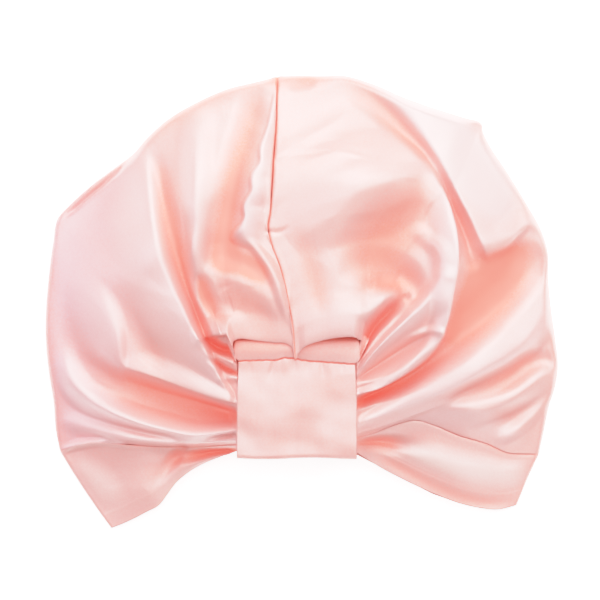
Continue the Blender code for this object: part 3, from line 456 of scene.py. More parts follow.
    ), 0.4),
    "back_slope": Fold(0.0, 0.0, (
        (5, 60, 0, 4, 4), (9.4, 62.4, -5, 7, 7), (14.4, 65, -9, 9.4, 8), (19, 68.6, -9, 9, 8),
        (22.6, 73.6, -6, 6, 7), (25, 79, 0, 3, 4),
    ), 2.4),
    "saddle": Fold(0.0, 0.0, (
        (20.4, 65.6, 0, 2, 2), (23.4, 64, 4, 2.6, 2.4), (25.6, 61, 6, 2.6, 2.4),
        (26, 56.6, 6, 2.6, 2.4), (24.6, 51.6, 0, 2.4, 2),
    )),
    "bowl": Fold(0.0, 0.0, (
        (6.6, 56, 0, 3.6, 2.6), (10, 56.6, -7, 5, 3.4), (14.6, 56.6, -13, 5.4, 4.2),
        (18.8, 55.4, -16, 5, 3.8), (21.4, 52.6, -12, 3.4, 2.8), (21, 49.4, -4, 2.2, 2),
    ), 1.7),
    # Painted shade in the bowl's floor.
    "bowl_painted_shade": Fold(0.0, 0.0, (
        (9, 52.4, 0, 2, 2), (12.4, 53.4, -3, 3, 2.6), (16, 53.4, -4, 3, 2.6), (19, 51.8, -3, 2, 2),
        (20.6, 49.4, 0, 1.6, 1.6),
    ), 6.0),
    "pouch_right": Fold(0.0, 0.0, (
        (-1, 42.6, 0, 2, 2), (1, 43.8, 6, 5, 2.6), (4, 45.2, 9, 6, 3.2), (8, 46.4, 12, 6.4, 3.4),
        (12.6, 48, 11, 4.6, 3.4), (16.6, 51, 7, 3, 2.6), (19, 52.6, 0, 2, 2),
    )),
    "diagonal_ridge": Fold(-0.4, 0.2, (
        (10.4, 34.4, 4, 1.1, 1.3), (12.6, 37.6, 12, 1.3, 1.8), (16.4, 42.2, 17, 1.6, 2.6),
        (20.6, 46.6, 18, 2, 3.4), (24.4, 51, 14, 2.6, 4), (26.4, 55, 6, 3, 3),
    ), 1.5),
    "pouch_drop": Fold(0.0, 0.0, (
        (10.6, 38, -12, 1, 1.2), (12, 41, -24, 2, 1.4), (14, 44.4, -28, 3, 1.6),
        (16.6, 47.6, -24, 3, 1.8), (19.4, 50.6, -10, 2.6, 2),
    )),
    "side_fold_step": Fold(0.0, 0.2, (
        (10.5, 33.4, -6, 0.9, 1.2), (13.5, 35.6, -11, 1.2, 1.8), (17, 38.2, -12, 1.5, 2.4),
        (21, 41, -10, 1.6, 2.4), (25, 43.6, 0, 1.4, 1.8),
    )),
    "pocket_rim": Fold(0.0, 0.3, (
        (18.6, 41.4, 0, 1, 1), (22, 43, 4, 1, 1), (25.6, 43.8, 5, 1, 1.2), (27.4, 42.4, 3, 1, 1),
    )),
    "side_fold": Fold(0.0, 0.2, (
        (10.5, 32.2, 4, 1.2, 1.2), (14, 33.2, 7, 1.4, 1.4), (18, 35.2, 8, 1.6, 1.6),
        (22, 38.4, 6, 1.6, 1.6), (25, 41.4, 0, 1.4, 1.4),
    )),
    # Painted shade along the top right rim.
    "top_right_painted_shade": Fold(0.0, 0.0, (
        (-4.6, 98, -3, 3, 3), (-1, 98.4, -3, 3, 3), (3, 98.8, -3, 3, 3), (7, 99, 0, 2, 2),
    ), 4.0),
    "right_roll": Fold(0.0, 0.1, (
        (47.4, 56, 0, 4, 5), (46.4, 49, 6, 6, 7), (44.2, 43.4, 10, 4.4, 8), (40, 39.2, 12, 3.6, 8),
        (34, 35.6, 13, 3, 7), (28, 31.8, 14, 2.6, 6), (22, 28.6, 15, 2.4, 4.4),
        (16, 25.8, 14, 2.2, 3.2), (10.7, 23.8, 9, 2, 2),
    ), 1.7),
    "right_roll_edge": Fold(-0.5, 0.3, (
        (31, 30.4, 0, 1.2, 2), (26, 27.6, 4, 1.2, 2.4), (22, 25.8, 7, 1.1, 2.2), (16, 23.4, 9, 1, 2),
        (10.7, 21.6, 8, 0.9, 1.8),
    )),
    "right_hollow": Fold(0.0, 0.0, (
        (27, 28.4, 0, 1.6, 2), (31, 30, -6, 2.4, 2.6), (36, 31.8, -10, 2.8, 3), (40, 33.8, -12, 3, 3.2),
        (43.6, 36.4, -11, 3, 3), (46.6, 37.4, -7, 2.6, 2.4), (49.2, 36, 0, 2, 2),
    ), 1.5),
    "lower_ridge": Fold(0.0, 0.1, (
        (49.2, 34.6, 0, 3, 2), (46.6, 33.8, 6, 4, 2.4), (43, 31, 8, 4, 2.6), (38.5, 28, 9, 3.6, 2.8),
        (34, 26.6, 7, 3, 2.8), (30, 27, 4, 2.4, 2.2), (26, 26.4, 0, 2, 1.6),
    )),
    "lower_dip": Fold(0.0, 0.0, (
        (32, 21.6, 0, 3, 3), (36, 23, -5, 3.4, 3.4), (41, 24.6, -6, 3.6, 3.4), (46, 28.4, 0, 3, 3),
    )),
    "low_ridge_right": Fold(0.0, 0.1, (
        (37.4, 18.6, 0, 1.6, 1.6), (41, 21.6, 4, 2, 2), (45, 25.4, 4, 2, 2), (48, 29, 0, 1.6, 1.6),
    )),
    "under_roll_right": Fold(0.0, 0.0, (
        (11, 19.4, -7, 1.6, 1), (14, 19.4, -9, 2, 1.2), (18, 19, -7, 2.4, 1.6), (22, 18, -3, 2.4, 2),
        (26, 17, 0, 2, 2),
    )),
    # Painted highlight below the right roll.
    "roll_foot_painted_highlight": Fold(0.0, 0.0, (
        (12, 20.4, 0, 2, 2), (18, 22.6, 1.5, 3, 2.6), (25, 25, 2, 4, 4), (32, 24.6, 2, 4, 5),
        (38, 21.6, 2, 4, 4), (44, 20, 0, 3, 3),
    ), 9.0),
    # Painted shade on the right brim by the seam.
    "brim_right_painted_shade": Fold(0.0, 0.0, (
        (10.6, 18.8, -2, 2, 2), (13.4, 18.6, -4, 2.4, 2.2), (17, 18.2, -4, 2.8, 2.2),
        (21, 17, 0, 2.4, 2),
    ), 5.0),
    # Painted shade along the right brim's hem.
    "hem_painted_shade": Fold(0.0, 0.0, (
        (12.6, 17.2, 0, 1.4, 1.4), (17, 14.8, -2, 1.8, 1.8), (23, 11.2, -2, 2, 2),
        (29, 8, -2, 2.2, 2.2), (36, 6, -2, 2.2, 2.2), (42.4, 6.4, 0, 2, 2),
    ), 7.0),
    # Painted highlight over the right brim.
    "brim_right_painted_highlight": Fold(0.0, 0.0, (
        (17, 18, 0, 2, 2), (22, 17, 3, 3, 3), (28, 14.6, 3, 4, 3.4), (35, 13, 3, 4, 4),
        (41, 12.6, 2, 3, 4), (45, 14, 0, 3, 3),
    ), 11.0),
    # Painted highlight over the left brim.
    "brim_left_painted_highlight": Fold(0.0, 0.0, (
        (-45, 15, 0, 3, 3), (-41, 12, 2, 4, 4), (-37.6, 8, 2, 4, 4), (-35.6, 4, 0, 3, 3),
    ), 5.0),
    "top_dimple": Fold(0.0, 0.0, (
        (-3.2, 97.4, 0, 1.6, 1.6), (-1, 97.2, -4, 1.8, 1.8), (1.2, 97.8, -5, 1.8, 1.8),
        (3, 99, 0, 1.6, 1.6),
    )),
    "seam_pinch": Fold(0.0, 0.4, (
        (-6.4, 64.9, -3, 0.7, 0.8), (-4.2, 64.8, -3, 0.7, 0.8), (-2.2, 66, 0, 0.7, 0.8),
    )),
    # Painted shade: a faint streak down the middle.
    "faint_streak": Fold(0.0, 0.0, (
        (-0.6, 66.6, 0, 2, 2), (0.6, 61, -1, 3, 3), (2.2, 55.6, -1.5, 3.2, 3.2), (3.6, 50, -1.2, 3, 3),
        (4.8, 45.6, 0, 2, 2),
    ), 9.0),
    # Painted shade on the slope above the bowl.
    "slope_painted_shade": Fold(0.0, 0.0, (
        (8, 61.6, 0, 3, 3), (12.6, 60.6, -3, 5, 5), (18, 61.4, -4, 6, 5), (22.6, 62.6, -2, 5, 4),
        (25.4, 65.6, 0, 3, 3),
    ), 3.5),
}


@dataclass
class Cap:
    """Sizes of the whole turban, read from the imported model."""

    low: Vector
    high: Vector
    band_low: Vector
    band_high: Vector
    cloth: float = 0.0005
    loft: float = 0.050
    gathered_share: float = 0.45
    shoulder: float = 0.075
    swell_reach: float = 0.45
    narrowest_fold: float = 0.75
    spread_reach: float = 0.12
    valley_share: float = 0.8
    fold_end: float = 0.022
    back_gap: float = 0.0022

    @property
    def width(self) -> float:
        """Width across the outline."""
        return self.high.x - self.low.x

    @property
    def length(self) -> float:
        """Length from the lowest hem tip to the crown."""
        return self.high.y - self.low.y

    @property
    def band_size(self) -> Vector:
        """Width, length and depth of the loop band."""
        return self.band_high - self.band_low

    def in_cap(self, points: Any) -> np.ndarray:
        """Turns hundredths of the cap into metres."""
        table = np.asarray(points, float)
        x = (self.low.x + self.high.x) / 2 + table[..., 0] / 100 * self.width
        y = self.low.y + table[..., 1] / 100 * self.length
        return np.stack([x, y], axis=-1)

    def in_band(self, u: Any, v: Any) -> np.ndarray:
        """Turns shares of the band into metres."""
        middle = (self.band_low.x + self.band_high.x) / 2
        x = middle + np.asarray(u, float) * self.band_size.x / 2
        y = self.band_low.y + np.asarray(v, float) * self.band_size.y
        return np.stack([x, y], axis=-1)

    def beyond_band(self, x: Any, y: Any) -> Any:
        """Distance outside the loop band's sides and top."""
        middle = (self.band_low.x + self.band_high.x) / 2
        beside = np.abs(x - middle) - self.band_size.x / 2
        return np.maximum(np.maximum(beside, y - self.band_high.y), 0.0)


@dataclass
class Relief:
    """The folds, as heights and sideways pulls over the plan."""

    cap: Cap
    folds: dict[str, Fold]
    samples: int = 8
    lean_growth: float = 4.0
    lean_slope: float = 1.6
    lean_foot: float = 0.6

    def at(self, x: np.ndarray, y: np.ndarray) -> tuple[np.ndarray, np.ndarray, np.ndarray]:
        """Adds up the folds at each point of the plan.

        Args:
            x: Places across the cap.
            y: Places along the cap.

        Returns:
            The height that the folds add, how far they pull each point sideways, and the painted light of
            each point: painted shade below 0 in hollows, painted highlight above 0 on crests.
        """
        cap = self.cap
        height, painted_light = np.zeros_like(x), np.zeros_like(x)
        pull = np.zeros(x.shape + (2,))
        opened = smooth_steps(cap.beyond_band(x, y) / (cap.spread_reach * cap.width))
        spread = cap.narrowest_fold + (1 - cap.narrowest_fold) * opened
        for fold in self.folds.values():
            self._add(fold, x, y, spread, height, pull, painted_light)
        return height, pull, painted_light

    def _add(self, fold: Fold, x: np.ndarray, y: np.ndarray, spread: np.ndarray,
             height: np.ndarray, pull: np.ndarray, painted_light: np.ndarray) -> None:
        """Adds one fold where it reaches.

        Args:
            fold: The fold.
            x: Places across the cap.
            y: Places along the cap.
            spread: How wide folds are at each place, as a share of their stated reach.
            height: Heights, added to in place.
            pull: Sideways pulls, added to in place.
            painted_light: Painted shade and highlight, added to in place.
        """
        cap = self.cap
        points = np.asarray(fold.path, float)
        places = np.linspace(0, 1, self.samples * (len(points) - 1) + 1)
        line = smooth_curve(stations_of(points[:, :2]), points, places)
        track = cap.in_cap(line[:, :2])
        crest = line[:, 2] / 100 * cap.loft
        reaches = line[:, 3:] / 100 * cap.width
        widest = reaches.max()
        low, high = track.min(axis=0) - widest, track.max(axis=0) + widest
        near = (x > low[0]) & (x < high[0]) & (y > low[1]) & (y < high[1])
        px, py = x[near], y[near]
        nearest = np.full(px.shape, np.inf)
        offset, place = np.zeros_like(px), np.zeros_like(px)
        across = np.zeros(px.shape + (2,))
        for index, (start, end) in enumerate(zip(track[:-1], track[1:])):
            leg = end - start
            from_x, from_y = px - start[0], py - start[1]
            share = np.clip((from_x * leg[0] + from_y * leg[1]) / (leg @ leg), 0.0, 1.0)
            distance = np.hypot(from_x - share * leg[0], from_y - share * leg[1])
            side = np.where(leg[0] * from_y - leg[1] * from_x > 0, 1.0, -1.0)
            nearer = distance < nearest
            nearest = np.where(nearer, distance, nearest)
            offset = np.where(nearer, side * distance, offset)
            place = np.where(nearer, index + share, place)
            right = np.array([leg[1], -leg[0]]) / math.hypot(*leg)
            across = np.where(nearer[..., None], right, across)
        numbers = np.arange(len(track))
        level = np.interp(place, numbers, crest)
        left, right = np.interp(place, numbers, reaches[:, 0]), np.interp(place, numbers, reaches[:, 1])
        reach = np.where(offset > 0, left, right) * spread[near]
        left_over = np.clip(1 - np.abs(offset) / reach, 0, 1)
        profile = (1 - fold.crisp) * smooth_steps(left_over) + fold.crisp * left_over**2
        height[near] += np.where(level < 0, cap.valley_share, 1.0) * level * profile
        # Paints shade where the fold sinks and a highlight where it rises.
        painted_light[near] += level / cap.loft * profile * fold.painted_light_gain
        if fold.lean:
            grown = np.clip(self.lean_growth * np.abs(level) / cap.loft, 0, 1)
            strength = grown * smooth_steps(profile * self.lean_slope - self.lean_foot)
            pull[near] += across * (strength * fold.lean / 100 * cap.width)[..., None]


@dataclass(frozen=True)
class Cut:
    """The flat cloth that a piece is sewn from, in metres and square metres, and how it is held."""

    width: float
    length: float
    area: float
    held: str = "gathered"


@dataclass
class Panel:
    """One sheet of satin: out of the loop band, over the front, round the side fold, under the back."""

    name: str
    node: str
    slot: str
    side: Side
    spokes: Table
    low_bend: Table
    high_bend: Table
    back: tuple[Row, Row]
    low_edge: Edge
    columns: int
    cut: Cut
    back_bend: Table = NO_BEND
    crowding: float = 0.4
    tuck_rows: int = 3
    front_rows: int = 156
    turn_rows: int = 6
    back_rows: int = 8
    row_ease: float = 0.35
    edge_blend: float = 3.0
    back_blend: float = 1.5
    gather_reach: float = 0.006
    floor_share: float = 1.6
    pull_growth: float = 1.5
    tuck_ease: float = 1.6
    tuck_shade: float = 0.25
    rim_share: float = 0.65
    rim_shade: float = 0.04
    rim_reach: float = 0.010
    seam_gap: float = 0.00003
    seam_shade: float = 0.55
    seam_reach: float = 0.0022
    seam_puff: float = 0.0003
    puff_share: float = 0.9
    shade_share: float = 0.6
    full_dip: float = 0.00055
    high_dip: float = 0.0004
    low_dip: float = 0.00012
    pucker_pitch: float = 0.0085
    pucker_height: float = 0.00010
    pucker_reach: float = 0.016
    pucker_sway: float = 1.3
    pucker_sway_length: float = 0.017
    hood_reach: float = 0.0105
    hood_tuck: float = 0.0036
    hood_rise: float = 0.0028
    hood_drop: float = 0.0060
    hood_width: float = 1.14
    hood_fade: float = 0.12
    hood_start: float = 0.0145
    hood_start_fade: float = 0.0025
    hood_cover: float = 0.002
    hood_sink: float = 0.004
    hood_overhang: float = 0.85
    hood_probe: float = 0.3
    hood_slope: float = 0.8
    hem_width: float = 0.0110
    hem_step: float = 0.00035
    hem_fade: float = 0.0014
    stitch_share: float = 0.8
    stitch_inset: float = 0.0008
    stitch_reach: float = 0.0012
    crumple_height: float = 0.0010
    crumple_start: float = 0.03
    crumple_end: float = 6.0
    crumple_seed: float = 7.3
    # Soft waves, fine waves and creases: size round the cap, size along the cloth, place in the noise.
    crumple_waves: Table = ((0.024, 0.060, 0.0), (0.011, 0.026, 4.0), (0.034, 0.048, 9.0))
    crumple_weights: Row = (0.9, 0.3, 1.3)
    crease_level: float = 0.35

    def build(self, cap: Cap, relief: Relief) -> bpy.types.Object:
        """Makes the panel.

        Args:
            cap: Sizes of the turban.
            relief: The folds of its front.

        Returns:
            The finished mesh object, with its pattern map.
        """
        points, pattern, painted_light = self._points(cap, relief)
        cloth = self._grid(points, pattern, painted_light)
        item = finish_piece(self.name, cloth)
        wall = item.modifiers.new("Wall", "SOLIDIFY")
        wall.thickness = cap.cloth
        wall.offset = -1.0
        LOG.info("%s: %d by %d points", self.name, *points.shape[:2])
        return item

    def _spoke(self, cap: Cap) -> dict[str, np.ndarray]:
        """Reads the spokes at each column.

        Args:
            cap: Sizes of the turban.

        Returns:
            The spokes' values in metres, one for each column, by name.
        """
        read = dict(zip(SPOKE_COLUMNS, np.asarray(self.spokes, float).T))
        rim = cap.in_cap(np.column_stack([read["x"], read["y"]]))
        gather = cap.in_band(read["gather_u"], read["gather_v"])
        lip = cap.in_band(read["lip_u"], read["lip_v"])
        heights = np.column_stack([read["lip_z"], read["rise"], read["plateau"]]) / 100 * cap.loft
        run = read["run"] / 100 * cap.width * self.rim_share
        knots = np.column_stack([rim, gather, lip, heights, run])
        even = np.linspace(0, 1, self.columns + 1)
        place = even - self.crowding * np.sin(2 * math.pi * even) / (2 * math.pi)
        at = smooth_curve(stations_of(rim), knots, place)
        return {
            "place": place, "rim": at[:, 0:2], "gather": at[:, 2:4], "lip": at[:, 4:6],
            "lip_z": at[:, 6], "rise": at[:, 7], "plateau": at[:, 8], "run": at[:, 9],
        }

    def _bend(self, cap: Cap, bend: Table, out: np.ndarray) -> np.ndarray:
        """Offset of an edge from its straight line, at shares of the way out."""
        table = np.asarray(bend, float)
        offset = smooth_curve(table[:, 0], table[:, 1:], out)
        return offset / 100 * np.array([cap.width, cap.length])

    def _points(self, cap: Cap, relief: Relief) -> tuple[np.ndarray, np.ndarray, np.ndarray]:
        """Works out the panel's points, their places on the flat pattern and their painted light.

        Args:
            cap: Sizes of the turban.
            relief: The folds of its front.

        Returns:
            Points as rows by columns by three, pattern places as rows by columns by two, and painted
            shade and highlight as rows by columns.
        """
        spoke = self._spoke(cap)
        reach = np.linalg.norm(spoke["rim"] - spoke["lip"], axis=1)
        run_share = spoke["run"] / reach
        steps = np.linspace(0, 1, self.front_rows + 1)
        eased = steps * (1 - self.row_ease + self.row_ease * steps)
        turned = np.sin(np.linspace(0, math.pi / 2, self.turn_rows + 1)[1:])
        open_rows = eased[:, None] * (1 - run_share)
        out = np.vstack([open_rows, 1 - run_share * (1 - turned)[:, None]])
        plan = self._plan(cap, spoke, out)
        front, painted_light = self._front(cap, relief, spoke, plan, out, reach)
        starting = smooth_steps(out * reach / self.crumple_start)
        front[..., 2] += self._crumple(front) * starting * smooth_steps((1 - out) * self.crumple_end)
        if self.low_edge is Edge.HEMMED:
            self._hem(front)
        self._sew(front, painted_light, -1, -self.side.value, self.high_dip)
        if self.low_edge is Edge.SEWN:
            self._sew(front, painted_light, 0, self.side.value, self.low_dip)
        tuck = self._tuck(cap, spoke, front)
        under = self._under(cap, spoke, front[-1])
        points = np.vstack([tuck, front, under])
        travel = np.linalg.norm(np.diff(points, axis=0), axis=2).mean(axis=1)
        along = np.concatenate([[0.0], np.cumsum(travel)])
        around = spoke["place"] * np.linalg.norm(np.diff(spoke["rim"], axis=0), axis=1).sum()
        pattern = np.stack(np.broadcast_arrays(around[None, :], along[:, None]), axis=-1)
        # The rows tucked inside the loop band get painted shade.
        inner = np.repeat(painted_light[:1] - self.tuck_shade, len(tuck), axis=0)
        painted_light = np.vstack([inner, painted_light, np.zeros(under.shape[:2])])
        return points, pattern, painted_light

    def _plan(self, cap: Cap, spoke: dict[str, np.ndarray], out: np.ndarray) -> np.ndarray:
        """Plan of the front, with its two edges bent to their lines."""
        straight = spoke["lip"][None] + out[..., None] * (spoke["rim"] - spoke["lip"])[None]
        low_pull = ((1 - spoke["place"]) ** self.edge_blend)[None, :, None]
        high_pull = (spoke["place"] ** self.edge_blend)[None, :, None]
        low = low_pull * self._bend(cap, self.low_bend, out[:, 0])[:, None]
        high = high_pull * self._bend(cap, self.high_bend, out[:, -1])[:, None]
        return straight + low + high

    def _front(self, cap: Cap, relief: Relief, spoke: dict[str, np.ndarray], plan: np.ndarray,
               out: np.ndarray, reach: np.ndarray) -> tuple[np.ndarray, np.ndarray]:
        """Lifts the front between band and side fold, and adds the folds.

        Args:
            cap: Sizes of the turban.
            relief: The folds.
            spoke: The spokes.
            plan: Places of the front in plan.
            out: Share of the way out of each row at each column.
            reach: Length of each spoke.

        Returns:
            Points of the front and their painted light, with painted shade along the rim.
        """
        reach, run, rise = reach[None, :], spoke["run"][None, :], spoke["rise"][None, :]
        inside, outside = (1 - out) * reach, out * reach
        edge = np.sqrt(1 - (1 - np.clip(inside / run, 0, 1)) ** 2)
        middle = np.minimum(rise / 2, cap.back_gap)
        swell = smooth_steps(inside / (cap.swell_reach * reach))
        dome = middle + (rise - middle) * edge + (spoke["plateau"][None, :] - rise) * swell
        near = np.clip(outside / (cap.shoulder * cap.width), 0, 1)
        lift = np.sqrt(1 - (1 - near) ** 2)
        lip_z = spoke["lip_z"][None, :]
        folds, pull, painted_light = relief.at(plan[..., 0], plan[..., 1])
        settle = smooth_steps(inside / (cap.fold_end * cap.width))
        loose = cap.gathered_share + (1 - cap.gathered_share) * smooth_steps(outside / self.gather_reach)
        height = lip_z + (dome - lip_z) * lift + folds * settle * loose
        least = middle + (cap.back_gap * self.floor_share - middle) * edge
        height = np.maximum(height, least)
        drawn = plan + pull * (settle * smooth_steps(near * self.pull_growth))[..., None]
        # Painted shade along the rim where the cloth turns under.
        painted_light = painted_light - self.rim_shade * bell(inside, self.rim_reach)
        return self._hood(cap, spoke, outside, np.dstack([drawn, height])), painted_light

    def _hood(self, cap: Cap, spoke: dict[str, np.ndarray], outside: np.ndarray,
              front: np.ndarray) -> np.ndarray:
        """Rolls the gathered cloth over the top of the loop band.

        Args:
            cap: Sizes of the turban.
            spoke: The spokes.
            outside: Distance from the lip of each point.
            front: Points of the front.

        Returns:
            The points, with those near the band's top on an arc that hangs over it.
        """
        lip_x, lip_y = spoke["lip"].T
        middle = (cap.band_low.x + cap.band_high.x) / 2
        beside = np.abs(lip_x - middle) * 2 / cap.band_size.x
        inward = smooth_steps((self.hood_width - beside) / self.hood_fade)
        above = inward * smooth_steps((lip_y - cap.band_high.y + self.hood_start) / self.hood_start_fade)
        toward = spoke["rim"] - spoke["lip"]
        toward /= np.linalg.norm(toward, axis=1)[:, None]
        tuck = np.maximum(cap.band_high.y + self.hood_cover - lip_y, self.hood_tuck)
        over = self.hood_overhang * tuck + self.hood_overhang * self.hood_reach
        at_reach, further = (
            np.array([np.interp(place, outside[:, column], front[:, column, 2])
                      for column in range(front.shape[1])])
            for place in (self.hood_reach, self.hood_reach * (1 + self.hood_probe))
        )
        slope = (further - at_reach) / (self.hood_probe * self.hood_reach)
        drop = np.clip(self.hood_slope * slope * (self.hood_reach + over), 0.0, self.hood_drop)
        top = np.maximum(at_reach - drop, cap.band_high.z + self.hood_rise)
        rise = cap.band_high.z + self.hood_rise
        share = np.clip(outside / self.hood_reach, 0, 1)
        away, rising, hanging, meeting = (
            (1 - share) ** 3, 3 * share * (1 - share) ** 2, 3 * share**2 * (1 - share), share**3,
        )
        along = away * tuck + rising * (tuck + self.hood_cover) - hanging * over + meeting * self.hood_reach
        height = (
            away * (spoke["lip_z"] - self.hood_sink) + rising * rise + hanging * top + meeting * at_reach
        )
        weight = above[None, :] * (share < 1)
        hooded = front.copy()
        shift = (along - np.minimum(outside, self.hood_reach)) * weight
        hooded[..., :2] += toward[None] * shift[..., None]
        hooded[..., 2] += (height - front[..., 2]) * weight
        return hooded

    def _crumple(self, front: np.ndarray) -> np.ndarray:
        """Height of the soft unevenness of the cloth, drawn out along the folds."""
        travel = np.linalg.norm(np.diff(front, axis=0), axis=2)
        along = np.vstack([np.zeros(front.shape[1]), np.cumsum(travel, axis=0)])
        width = np.linalg.norm(np.diff(front, axis=1), axis=2)
        around = np.hstack([np.zeros((front.shape[0], 1)), np.cumsum(width, axis=1)])
        seed = self.crumple_seed * self.side.value
        soft, fine, crease = (
            noise_field(around / wide + seed, along / long + place)
            for wide, long, place in self.crumple_waves
        )
        waves = (soft, fine, self.crease_level - np.abs(crease))
        return self.crumple_height * sum(weight * wave for weight, wave in zip(self.crumple_weights, waves))

    def _hem(self, front: np.ndarray) -> None:
        """Thickens the turned hem and presses its stitch line in."""
        away = np.linalg.norm(front - front[:, :1], axis=2)
        doubled = self.hem_step * (1 - smooth_steps((away - self.hem_width) / self.hem_fade + 0.5))
        stitch = bell(away - self.hem_width + self.stitch_inset, self.stitch_reach)
        stitch *= self.hem_step * self.stitch_share
        front[..., 2] += doubled - stitch

    def _sew(self, front: np.ndarray, painted_light: np.ndarray, column: int, direction: int, dip: float) -> None:
        """Turns an edge down into its seam, puckers it and pulls it half the seam's gap back.

        Args:
            front: Points of the front, moved in place.
            painted_light: Painted light of the front, given painted shade at the seam in place.
            column: The edge's column.
            direction: Which way along the columns the edge is pulled back.
            dip: How far the edge turns down.
        """
        edge = front[:, column].copy()
        travelled = np.concatenate([[0.0], np.cumsum(np.linalg.norm(np.diff(edge, axis=0), axis=1))])
        away = np.linalg.norm(front - edge[:, None], axis=2)
        down = np.clip(1 - away / self.seam_reach, 0, 1) ** 3
        puffed = self.seam_reach * self.puff_share
        puff = bell(away - puffed, puffed)
        sway = self.pucker_sway * np.sin(travelled / self.pucker_sway_length)
        wave = np.sin(2 * math.pi * travelled / self.pucker_pitch + sway)
        pucker = self.pucker_height * wave[:, None] * bell(away, self.pucker_reach)
        rows, columns = np.gradient(front, axis=0), np.gradient(front, axis=1)
        normal = self.side.value * np.cross(rows, columns)
        normal /= np.maximum(np.linalg.norm(normal, axis=2), 1e-12)[..., None]
        front += normal * ((self.seam_puff * puff + pucker) * dip / self.full_dip - dip * down)[..., None]
        # Painted shade in the seam's groove.
        painted_light -= self.seam_shade * dip / self.full_dip * bell(away, self.seam_reach * self.shade_share)
        course = np.gradient(edge[:, :2], axis=0)
        course /= np.linalg.norm(course, axis=1)[:, None]
        sideways = direction * np.column_stack([-course[:, 1], course[:, 0]])
        front[:, column, :2] += sideways * self.seam_gap / 2

    def _tuck(self, cap: Cap, spoke: dict[str, np.ndarray], front: np.ndarray) -> np.ndarray:
        """Rows from inside the loop band out to the lip."""
        deep = np.full(self.columns + 1, (cap.band_low.z + cap.band_high.z) / 2)
        gather = spoke["gather"] + front[0, :, :2] - spoke["lip"]
        start = np.column_stack([gather, np.minimum(front[0, :, 2], deep)])
        rows = []
        for step in range(self.tuck_rows):
            share = step / self.tuck_rows
            row = start + (front[0] - start) * share
            row[:, 2] = start[:, 2] + (front[0, :, 2] - start[:, 2]) * share**self.tuck_ease
            rows.append(row)
        return np.stack(rows)

    def _under(self, cap: Cap, spoke: dict[str, np.ndarray], rim: np.ndarray) -> np.ndarray:
        """Works out the rows that nobody sees from above.

        Args:
            cap: Sizes of the turban.
            spoke: The spokes.
            rim: The front's last row.

        Returns:
            Rows from the side fold down to the table and along it to the middle of the back.
        """
        start, end = cap.in_cap(self.back)
        line = start + spoke["place"][:, None] * (end - start)
        line[:, 0] += self.side.value * self.seam_gap / 2
        across = (end - start) / np.linalg.norm(end - start)
        line[0 if self.low_edge is Edge.SEWN else -1] += (
            across * self.seam_gap / 2 * (1 if self.low_edge is Edge.SEWN else -1)
        )
        length = np.linalg.norm(line - rim[:, :2], axis=1)
        rows = []
        for angle in np.linspace(0, math.pi / 2, self.turn_rows + 1)[1:]:
            share = spoke["run"] * (1 - math.cos(angle)) / length
            plan = rim[:, :2] + share[:, None] * (line - rim[:, :2])
            rows.append(np.column_stack([plan, rim[:, 2] * (1 - math.sin(angle))]))
        landed = spoke["run"] / length
        pull = ((1 - spoke["place"]) ** self.back_blend)[:, None]
        for step in np.linspace(0, 1, self.back_rows + 1)[1:]:
            share = landed + step * (1 - landed)
            plan = rim[:, :2] + share[:, None] * (line - rim[:, :2])
            plan += pull * self._bend(cap, self.back_bend, share[:1])
            rows.append(np.column_stack([plan, np.zeros(len(share))]))
        return np.stack(rows)

    def _grid(self, points: np.ndarray, pattern: np.ndarray, painted_light: np.ndarray) -> bmesh.types.BMesh:
        """Lays a grid over the points, with its faces turned outwards.

        Args:
            points: Points as rows by columns by three.
            pattern: Places on the flat cloth as rows by columns by two.
            painted_light: Painted shade and highlight as rows by columns.

        Returns:
            The sheet, with its pattern map and painted light.
        """
        rows, columns = points.shape[:2]
        cloth = bmesh.new()
        bmesh.ops.create_grid(cloth, x_segments=columns - 1, y_segments=rows - 1, size=0.5)
        layer = cloth.loops.layers.uv.new("pattern")
        # Each point's painted shade and highlight, for the material.
        shade = cloth.verts.layers.float.new("painted_light")
        for vertex in cloth.verts:
            column = round((vertex.co.x + 0.5) * (columns - 1))
            row = round((vertex.co.y + 0.5) * (rows - 1))
            vertex.co = points[row, column]
            vertex[shade] = painted_light[row, column]
            for loop in vertex.link_loops:
                loop[layer].uv = pattern[row, column]
        if self.side is Side.RIGHT:
            bmesh.ops.reverse_faces(cloth, faces=cloth.faces)
        return cloth


def finish_piece(name: str, cloth: bmesh.types.BMesh) -> bpy.types.Object:
    """Makes a smooth-shaded object of a bmesh, at the origin."""
    mesh = bpy.data.meshes.new(name)
    cloth.to_mesh(mesh)
    cloth.free()
    mesh.shade_smooth()
    item = bpy.data.objects.new(name, mesh)
    bpy.context.scene.collection.objects.link(item)
    return item


# Sway of the seam across the band: u, then shares of the band's length.
BAND_SEAM = (
    (-1.1, 0.0), (-0.7, 0.006), (-0.35, 0.010), (-0.2, 0.028), (-0.05, 0.024), (0.1, 0.008), (0.4, -0.006),
    (0.7, -0.014), (1.1, -0.030),
)
# Gathers below the seam: u where each starts, its lean, its length in shares of the band, its depth.
BAND_GATHERS = (
    (-0.82, 0.3, 0.10, -0.00035), (-0.38, -0.6, 0.16, -0.0007), (-0.22, 0.2, 0.12, 0.0005),
    (-0.05, 0.1, 0.09, -0.0004), (0.20, -0.3, 0.12, -0.0005), (0.42, 0.3, 0.14, -0.0006),
    (0.55, 0.2, 0.10, 0.0004), (0.78, 0.1, 0.09, -0.0004),
)


